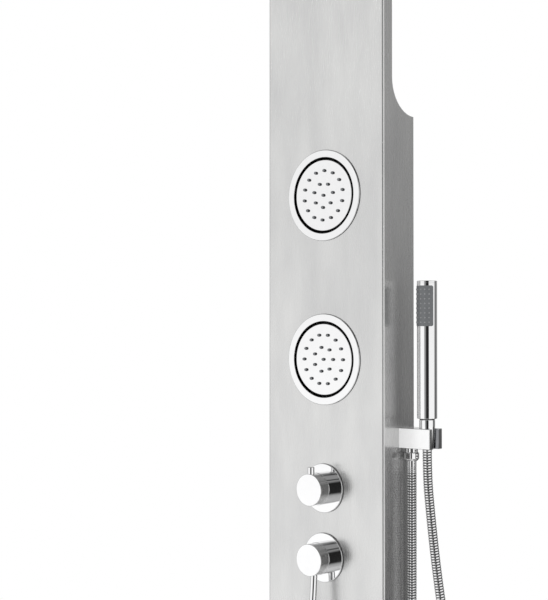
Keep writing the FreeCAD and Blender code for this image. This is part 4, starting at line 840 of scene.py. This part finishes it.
def hose_fittings():
    """The milled hose nut, its crimp sleeve with three rolled grooves, and the conical nut."""
    low, high = (corner.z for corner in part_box("hose_nut"))
    radius = half_width("hose_nut")
    bore, sleeve = 9.1 * MM, 6.85 * MM
    seat = high - 8.6 * MM
    turned_piece("milled_hose_nut", "hose_nut", upright("hose_nut"), (0, 0, 1), [
        (bore, high),
        (radius - 2 * MM, high, 0.4 * MM),
        (radius, high - 1.6 * MM, 0.6 * MM),
        (radius, low + 3.4 * MM, 0.8 * MM),
        (radius - 2.4 * MM, low + 0.9 * MM, 0.5 * MM),
        (radius - 3.5 * MM, low, 0.4 * MM),
        (sleeve, low),
        (sleeve, seat),
        (bore, seat),
    ], flats=radius - 0.9 * MM)
    low, high = (corner.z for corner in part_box("hose_crimp"))
    outside, flare = 6.8 * MM, half_width("hose_crimp")
    grooves = []
    for place in (2.6 * MM, 5.2 * MM, 7.8 * MM):
        grooves += [
            (outside, low + place - 0.5 * MM, 0.15 * MM),
            (outside - 0.35 * MM, low + place, 0.2 * MM),
            (outside, low + place + 0.5 * MM, 0.15 * MM),
        ]
    turned_piece("rolled_crimp", "hose_crimp", upright("hose_crimp"), (0, 0, 1), [
        (HOSE_END_BORE, low),
        (outside, low, 0.5 * MM),
        *grooves,
        (outside, high - 0.5 * MM),
        (flare, high - 0.5 * MM),
        (flare, high),
        (HOSE_END_BORE, high),
    ])
    low, high = (corner.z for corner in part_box("cone_nut"))
    radius, end = half_width("cone_nut"), 9.2 * MM
    thread, thread_depth = 8.3 * MM, 12 * MM
    washer = high - WASHER
    footed_piece("seated_cone", "cone_nut", upright("cone_nut"), (0, 0, 1), [
        (thread, high),
        (radius - 0.6 * MM, high, 0.2 * MM),
        (radius - 0.6 * MM, washer),
        (radius - 0.6 * MM, washer - 0.1 * MM),
        (radius, washer - 0.6 * MM, 0.4 * MM),
        (radius, high - 11 * MM, 4 * MM),
        (end, low, 0.8 * MM),
        (HOSE_END_BORE, low),
        (HOSE_END_BORE, high - thread_depth),
        (thread, high - thread_depth),
    ], lambda place: place.z > washer - NEAR)


def hand_shower():
    """The stick with its screwed end cap, and its nozzle pad."""
    low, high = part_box("handset_body")
    radius = half_width("handset_body")
    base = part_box("cone_nut")[1].z + 0.1 * MM
    seam = high.z - 3.2 * MM
    thread = 8.2 * MM
    turned_piece("stick", "handset_body", upright("handset_body"), (0, 0, 1), [
        (0, high.z),
        (radius, high.z, 0.8 * MM),
        (radius, seam + 0.2 * MM, 0.1 * MM),
        (radius - 0.25 * MM, seam, 0.1 * MM),
        (radius, seam - 0.2 * MM, 0.1 * MM),
        (radius, base, 0.8 * MM),
        (thread, base),
        (thread, low.z),
        (0, low.z),
    ])
    pad_low, pad_high = (corner.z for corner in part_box("handset_pad"))
    mesh = pad_mesh(radius, pad_high - pad_low)
    nozzle = nozzle_mesh(1.4 * MM, 0.7 * MM, 0.75, 12)
    nozzle.transform(Matrix.Rotation(math.pi / 2, 4, "X"))
    nozzles = repeated("pad nozzles", nozzle, BARREL, {
        **PAD_GRID,
        "Radius": radius + PAD_PROUD,
        "Finish": MATERIAL_OF_NODE["handset_pad"],
    })
    pad = joined("pad", [mesh, nozzles])
    x, y, _ = upright("handset_body")
    pad.transform(Matrix.Translation((x, y, (pad_low + pad_high) / 2)))
    take_place(new_piece("nozzle_pad", pad, MATERIAL_OF_NODE["handset_pad"], SOFT_SHARP),
               "handset_pad")


def pad_mesh(radius, height, columns=72, rows=60):
    """A shallow pad on a barrel's front, swelling from its rounded border."""
    half = radius * PAD_HALF_TURN
    shape = bmesh.new()
    grid = []
    for row in range(rows + 1):
        up = height / 2 * math.sin(math.pi * (row / rows - 0.5))
        line = []
        for column in range(columns + 1):
            along = half * math.sin(math.pi * (column / columns - 0.5))
            over = Vector((max(abs(along) - half + PAD_CORNER, 0),
                           max(abs(up) - height / 2 + PAD_CORNER, 0)))
            inside = min(half - abs(along), height / 2 - abs(up), PAD_CORNER - over.length)
            share = min(max(inside / PAD_BORDER, 0), 1)
            swell = (PAD_PROUD + PAD_SINK) * math.sqrt(share * (2 - share))
            reach = radius - PAD_SINK + swell
            angle = along / radius
            line.append(shape.verts.new((reach * math.sin(angle), -reach * math.cos(angle), up)))
        grid.append(line)
    for low, high in zip(grid, grid[1:]):
        for i in range(columns):
            shape.faces.new([low[i], low[i + 1], high[i + 1], high[i]])
    mesh = bpy.data.meshes.new("pad skin")
    shape.to_mesh(mesh)
    shape.free()
    mark(mesh, "tip", lambda vert: 0.0)
    return mesh


def rain_head():
    """Trim ring, spray plate and nozzles under the arm."""
    ring, plate, rubber = "rain_ring", "rain_plate", "rain_nozzles"
    origin = upright(ring)
    low, high = (corner.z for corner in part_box(ring))
    radius = half_width(ring)
    bore = radius - RAIN_BAND
    arm = high - RAIN_SLEEVE
    turned_piece("rain_trim_ring", ring, origin, (0, 0, 1), [
        (bore, high),
        (bore, low, 1.6 * MM),
        (radius, low, 1.6 * MM),
        (radius, arm),
        (bore + SLEEVE_WALL, arm),
        (bore + SLEEVE_WALL, high),
    ])
    face, back = (corner.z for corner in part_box(plate))
    rim = half_width(plate)
    turned_piece("rain_spray_plate", plate, origin, (0, 0, 1), [
        (0, face),
        (rim, face, 0.9 * MM),
        (rim, back),
        (rim - RAIN_PLATE, back),
        (rim - RAIN_PLATE, face + RAIN_PLATE),
        (0, face + RAIN_PLATE),
    ])
    stands_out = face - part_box(rubber)[0].z
    nozzles = repeated("rain nozzles", nozzle_mesh(RAIN_NOZZLE, stands_out), CIRCLES, {
        **RAIN_CIRCLES,
        "Finish": MATERIAL_OF_NODE[rubber],
    })
    down = Matrix.Rotation(math.pi, 4, "X")
    nozzles.transform(Matrix.Translation((origin[0], origin[1], face)) @ down)
    take_place(new_piece("rain_nozzles_soft", nozzles, MATERIAL_OF_NODE[rubber], SOFT_SHARP), rubber)


SCREW_HEAD = 1.8 * MM  # height of a casing screw's head
SCREW_SHANK = 5 * MM
SCREW_SOCKET = 1.2 * MM  # depth


def screw_mesh():
    """A button-headed screw along Z, its shank downwards and a round socket in its head."""
    shank, head, socket, crown = 2 * MM, 3.6 * MM, 1.1 * MM, 2.2 * MM
    return turned_mesh("screw", (0, 0, 0), (0, 0, 1), [
        (0, SCREW_HEAD - SCREW_SOCKET),
        (socket, SCREW_HEAD - SCREW_SOCKET),
        (socket, SCREW_HEAD, 0.15 * MM),
        (crown, SCREW_HEAD, 0.8 * MM),
        (head, 0.4 * MM, 0.5 * MM),
        (head, 0),
        (shank, 0),
        (shank, -SCREW_SHANK),
        (0, -SCREW_SHANK),
    ], SMALL_SIDES)


def screws():
    """The four screws of the rear cover and the two of the bottom cap."""
    spots = islands("casing_screws")
    heads = [box for box in spots if box[1].z - box[0].z < 8 * MM and box[1].z > 0]
    ends = [box for box in spots if box not in heads]
    low = Vector([min(box[0][i] for box in heads) for i in range(3)])
    high = Vector([max(box[1][i] for box in heads) for i in range(3)])
    size = heads[0][1] - heads[0][0]
    cover = repeated("cover screws", screw_mesh(), GRID, {
        "Width": high.x - low.x - size.x,
        "Height": high.z - low.z - size.z,
        "Columns": 2,
        "Rows": 2,
        "Finish": MATERIAL_OF_NODE["casing_screws"],
    })
    centre = (low + high) / 2
    seat = high.y - SCREW_HEAD
    backwards = Matrix.Rotation(-math.pi / 2, 4, "X")
    cover.transform(Matrix.Translation((centre.x, seat, centre.z)) @ backwards)
    meshes = [cover]
    for box_low, box_high in ends:
        sign = 1 if box_high.x > 0 else -1
        face = (box_high.x if sign > 0 else box_low.x) - sign * SCREW_HEAD
        place = (face, (box_low.y + box_high.y) / 2, (box_low.z + box_high.z) / 2)
        screw = screw_mesh()
        screw.transform(Matrix.Translation(place) @ Matrix.Rotation(sign * math.pi / 2, 4, "Y"))
        meshes.append(screw)
    mesh = joined("screws", meshes)
    take_place(new_piece("button_screws", mesh, MATERIAL_OF_NODE["casing_screws"]), "casing_screws")


SOCKET_RADIUS = 14 * MM  # faces nearer to the hand shower's axis belong to the socket
SLOT_HALF = 9 * MM  # half the width within which faces belong to the slot


def holder():
    """The square block as it is, with its front face marked as satin, and the walls of its socket
    and slot marked as inside, where its material paints shade."""
    mesh = NODES["holder_block"].data.copy()
    x, y, _ = upright("handset_body")
    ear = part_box("holder_block")[1].x - 1 * MM

    def in_painted_shade(face):
        to_axis = Vector((x - face.center.x, y - face.center.y, 0))
        in_socket = to_axis.length < SOCKET_RADIUS and face.normal.dot(to_axis) > 0
        in_slot = abs(face.normal.y) > 0.9 and face.center.x > x and abs(to_axis.y) < SLOT_HALF
        return float(in_socket or (in_slot and face.center.x < ear))

    mark(mesh, "satin", lambda face: float(face.normal.y < -0.95 and not in_painted_shade(face)), "FACE")
    # the faces inside the socket and the slot take the darker colour of painted shade
    mark(mesh, "inside", in_painted_shade, "FACE")
    mesh.materials.clear()
    mesh.materials.append(SATIN_BLOCK)
    block = bpy.data.objects.new("square_holder", mesh)
    bpy.context.scene.collection.objects.link(block)
    take_place(block, "holder_block")


for level in JET_TURNS:
    jet_fittings(level)
for valve in ("diverter", "mixer"):
    valve_fittings(valve)
rods()
hose_fittings()
hand_shower()
rain_head()
screws()
holder()

# ------------------------------------------------------------------ shower hose
# The route of the hose as (distance from the outlet's axis towards the hand shower's axis,
# height). Its two ends meet the crimp sleeve and the conical nut.
HOSE_ROUTE = [
    (0, -0.5038),
    (0, -0.64),
    (-0.001, -0.78),
    (-0.005, -0.9),
    (-0.011, -0.995),
    (-0.016, -1.07),
    (-0.022, -1.138),
    (-0.004, -1.175),
    (0.029, -1.196),
    (0.068, -1.196),
    (0.101, -1.175),
    (0.118, -1.138),
    (0.115, -1.07),
    (0.107, -0.992),
    (0.095, -0.916),
    (0.0815, -0.84),
    (0.067, -0.767),
    (0.0525, -0.697),
    (0.041, -0.626),
    (0.033, -0.562),
    (0.0272, -0.508),
    (0.0272, -0.468),
]
HOSE_WIDTH = 0.014
HOSE_SEAM_DEPTH = 0.0009
HOSE_RIBS = 390  # one for each turn of the wound strip, 3.85 mm apart
HOSE_STATIONS = 7  # for each rib
HOSE_SIDES = 20
HOSE_CREST_POWER = 0.4  # under 1 it flattens the tops of the ribs


def ribbed_tube_tree():
    """A curve becomes a tube whose radius swells from seam to crest once for each rib."""
    tree, given = geometry_tree("ribbed hose", {
        "Ribs": "Int", "Stations a rib": "Int", "Sides": "Int", "Seam radius": "Float",
        "Crest height": "Float", "Finish": "Material"})
    stations = given["Stations a rib"]
    spans = add(tree, MATH, {0: given["Ribs"], 1: stations}, operation="MULTIPLY")
    ends = add(tree, MATH, {0: spans, 1: 1.0}, operation="ADD")
    line = add(tree, "GeometryNodeResampleCurve", {"Curve": given["Geometry"], "Count": ends})
    index = add(tree, "GeometryNodeInputIndex")
    turns = add(tree, MATH, {0: index, 1: stations}, operation="DIVIDE")
    phase = add(tree, MATH, {0: turns}, operation="FRACT")
    half_turn = add(tree, MATH, {0: phase, 1: math.pi}, operation="MULTIPLY")
    wave = add(tree, MATH, {0: half_turn}, operation="SINE")
    swell = add(tree, MATH, {0: wave, 1: 0.0}, operation="MAXIMUM")
    crest = add(tree, MATH, {0: swell, 1: HOSE_CREST_POWER}, operation="POWER")
    radius = add(tree, MATH, {0: crest, 1: given["Crest height"], 2: given["Seam radius"]},
                 operation="MULTIPLY_ADD")
    marked = add(tree, "GeometryNodeStoreNamedAttribute",
                 {"Geometry": line, "Name": "crest", "Value": crest}, domain="POINT")
    swollen = add(tree, "GeometryNodeSetCurveRadius", {"Curve": marked, "Radius": radius})
    ring = add(tree, "GeometryNodeCurvePrimitiveCircle",
               {"Resolution": given["Sides"], "Radius": 1.0})
    tube = add(tree, "GeometryNodeCurveToMesh",
               {"Curve": swollen, "Profile Curve": ring, "Fill Caps": True})
    if "Scale" in tube.inputs:
        feed(tree, tube, {"Scale": radius})
    return finish_tree(tree, tube, given["Finish"])


def shower_hose():
    exit_place = middle("hose_crimp")
    exit_place.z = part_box("hose_crimp")[0].z
    curve = bpy.data.curves.new("hose route", "CURVE")
    curve.dimensions = "3D"
    curve.resolution_u = 24
    spline = curve.splines.new("NURBS")
    spline.points.add(len(HOSE_ROUTE) - 1)
    for point, (out, height) in zip(spline.points, HOSE_ROUTE):
        point.co = (exit_place.x + out, exit_place.y, height, 1)
    spline.order_u = 3
    spline.use_endpoint_u = True
    route = bpy.data.objects.new("hose route", curve)
    bpy.context.scene.collection.objects.link(route)
    line = evaluated_mesh(route, "hose line")
    modifier = give_nodes(route, ribbed_tube_tree(), {
        "Ribs": HOSE_RIBS,
        "Stations a rib": HOSE_STATIONS,
        "Sides": HOSE_SIDES,
        "Seam radius": HOSE_WIDTH / 2 - HOSE_SEAM_DEPTH,
        "Crest height": HOSE_SEAM_DEPTH,
        "Finish": FINISHES["hose_metal"],
    })
    mesh = evaluated_mesh(route, "ribbed hose")
    route.modifiers.remove(modifier)
    bpy.data.objects.remove(route)
    hose = new_piece("ribbed_hose", mesh, FINISHES["hose_metal"], sharp=60)
    take_place(hose, "shower_hose")


shower_hose()

# ------------------------------------------------------------------ finish of every node
for name, node in NODES.items():
    node.data.materials.clear()
    node.data.materials.append(MATERIAL_OF_NODE[name])


# ------------------------------------------------------------------ floor
FLOOR_DROP = 0.12  # floor below the lowest point of the hose
FLOOR_RADIUS = 0.9
FLOOR_FADE = (0.55, 0.98)  # where its fading starts and ends, as shares of its radius
FLOOR_FRONT = -0.2  # its middle, in front of the wall


def floor():
    """A plain pale floor that fades out towards its rim."""
    height = CAD_BOX[0][2] - FLOOR_DROP
    mesh = bpy.data.meshes.new("floor")
    shape = bmesh.new()
    bmesh.ops.create_circle(shape, cap_ends=True, segments=96, radius=FLOOR_RADIUS)
    centre = (0, FLOOR_FRONT, height)
    bmesh.ops.translate(shape, verts=shape.verts, vec=centre)
    shape.to_mesh(mesh)
    shape.free()
    material, tree, shader, where = new_material("pale floor")
    feed(tree, shader, {"Base Color": "#ececec", "Roughness": 0.7})
    far = add(tree, "ShaderNodeVectorMath", {0: where, 1: centre}, operation="DISTANCE")
    fading, gone = (share * FLOOR_RADIUS for share in FLOOR_FADE)
    fade = add(tree, MAP, {0: far, 1: fading, 2: gone, 3: 0, 4: 1})
    clear = add(tree, "ShaderNodeBsdfTransparent")
    mixed = add(tree, "ShaderNodeMixShader", {0: fade, 1: shader, 2: clear})
    output = next(node for node in tree.nodes if node.type == "OUTPUT_MATERIAL")
    feed(tree, output, {"Surface": mixed})
    mesh.materials.append(material)
    piece = bpy.data.objects.new("floor", mesh)
    bpy.context.scene.collection.objects.link(piece)


floor()

# ------------------------------------------------------------------ studio light
# The studio as the metal mirrors it. Each stop is (degrees from straight in front of the
# column towards its right, brightness, share of the rise). Where the share is 1 the brightness
# follows the rise in MASKS from low down to high up, and where it is 0 it only falls upwards by SCREEN_FALL.
# The camera stands in a dark gap between two tall white screens.
STUDIO = [
    (-180, 0.5, 0),
    (-168, 0.75, 0),
    (-128, 0.75, 0),
    (-112, 0.35, 0),
    (-72, 0.5, 0),
    (-60, 1.06, 0),
    (-1, 1.06, 0),
    (4, 0.4, 0),
    (20, 0.25, 0),
    (25, 0.02, 0),
    (52, 0.02, 0),
    (57, 1.0, 0),
    (120, 1.0, 0),
    (130, 0.19, 1),
    (147, 0.17, 1),
    (156, 0.4, 0),
    (180, 0.5, 0),
]
PATCHES = (0.03, 0.3)  # the dark and the bright patches over the screens and far behind
PATCH = 0.45  # their width, where a right angle is 1.4
PATCH_EDGE = (0.47, 0.55)  # the levels of a noise between which one turns into the other
ROOM_LEVEL = 0.62  # the ceiling and the ground, behind the screens
SCREEN_FALL = 0.07  # how much the screens darken upwards
SOFT_LEVEL = 0.62  # even light that falls on what isn't a mirror
STEEP = (0.36, 0.5)  # how far up or down the walls end
# Parts of the room, as (coordinate of the way to them, its range, the range it becomes).
MASKS = {
    "rise": ("Z", -0.134, 0.065, -0.85, 1.0),
    "ceiling": ("Z", 0.55, 0.68, 0, 1),
    "ceiling behind": ("Y", 0.05, 0.25, 0, ROOM_LEVEL),
    "ground": ("Z", -0.75, -0.05, 1, 0),
    "ground in front": ("Y", 0, 0.2, ROOM_LEVEL, 0),
    "far behind": ("Y", 0.8, 0.9, 0, 1),
    "on the right": ("X", 0.1, 0.3, 0, 1),
}


def studio_world():
    world = bpy.data.worlds.new("studio")
    bpy.context.scene.world = world
    world.use_nodes = True
    tree = world.node_tree
    tree.nodes.clear()
    way = add(tree, "ShaderNodeTexCoord").outputs["Generated"]
    parts = add(tree, "ShaderNodeSeparateXYZ", {0: way}).outputs
    masks = {name: add(tree, MAP, dict(enumerate((parts[axis], *ranges))))
             for name, (axis, *ranges) in MASKS.items()}
    ahead = add(tree, MATH, {0: parts["Y"], 1: -1.0}, operation="MULTIPLY")
    around = add(tree, MATH, {0: parts["X"], 1: ahead}, operation="ARCTAN2")
    turn = add(tree, MAP, {0: around, 1: -math.pi, 2: math.pi, 3: 0, 4: 1})
    ramp = add(tree, "ShaderNodeValToRGB", {0: turn})
    stops = ramp.color_ramp.elements
    while len(stops) < len(STUDIO):
        stops.new(0.5)
    for stop, (degrees, level, share) in zip(stops, STUDIO):
        stop.position = (degrees + 180) / 360
        stop.color = (level, level, level, share)
    share = add(tree, MATH, {0: ramp.outputs["Alpha"], 1: 1 + SCREEN_FALL, 2: -SCREEN_FALL},
                operation="MULTIPLY_ADD")
    gain = add(tree, MATH, {0: masks["rise"], 1: share, 2: 1.0}, operation="MULTIPLY_ADD")
    walls = add(tree, "ShaderNodeVectorMath", {0: ramp, "Scale": gain}, operation="SCALE")
    blotch = add(tree, NOISE, {"Vector": way, "Scale": 1 / PATCH, "Detail": 1})
    patches = add(tree, MAP, dict(enumerate((blotch, *PATCH_EDGE, *PATCHES))))
    ceiling = add(tree, MATH, {0: masks["ceiling"], 1: masks["ceiling behind"]},
                  operation="MULTIPLY")
    ground = add(tree, MATH, {0: masks["ground"], 1: masks["ground in front"]},
                 operation="MULTIPLY")
    pale = add(tree, MATH, {0: ceiling, 1: ground}, operation="MAXIMUM")
    room = add(tree, MATH, {0: patches, 1: pale}, operation="MAXIMUM")
    steepness = add(tree, MATH, {0: parts["Z"]}, operation="ABSOLUTE")
    steep = add(tree, MAP, dict(enumerate((steepness, *STEEP, 0, 1))))
    behind = add(tree, MATH, {0: masks["far behind"], 1: masks["on the right"]},
                 operation="MULTIPLY")
    around_it = add(tree, MIX, {"Factor": steep, "A": walls, "B": room}, data_type="RGBA")
    mirrored = add(tree, MIX, {"Factor": behind, "A": around_it, "B": patches}, data_type="RGBA")
    rays = add(tree, "ShaderNodeLightPath").outputs
    soft = (SOFT_LEVEL, SOFT_LEVEL, SOFT_LEVEL, 1)
    diffuse = add(tree, MIX, {"Factor": rays["Is Diffuse Ray"], "A": mirrored, "B": soft},
                  data_type="RGBA")
    seen = add(tree, MIX, {"Factor": rays["Is Camera Ray"], "A": diffuse, "B": (1, 1, 1, 1)},
               data_type="RGBA")
    light = add(tree, "ShaderNodeBackground", {"Color": seen, "Strength": 1.0})
    add(tree, "ShaderNodeOutputWorld", {"Surface": light})


def lamp(name, place, target, size, power):
    data = bpy.data.lights.new(name, "AREA")
    data.shape = "DISK"
    data.size = size
    data.energy = power
    thing = bpy.data.objects.new(name, data)
    thing.location = place
    way = Vector(target) - Vector(place)
    thing.rotation_euler = way.to_track_quat("-Z", "Y").to_euler()
    thing.visible_glossy = False
    bpy.context.scene.collection.objects.link(thing)


studio_world()
lamp("key", (-1.6, -2.2, 0.9), target=(0, 0, -0.3), size=0.7, power=9)
lamp("fill", (1.1, -2.0, -0.1), target=(0.16, 0, -0.45), size=0.5, power=20)
bpy.context.scene.view_settings.view_transform = "Standard"
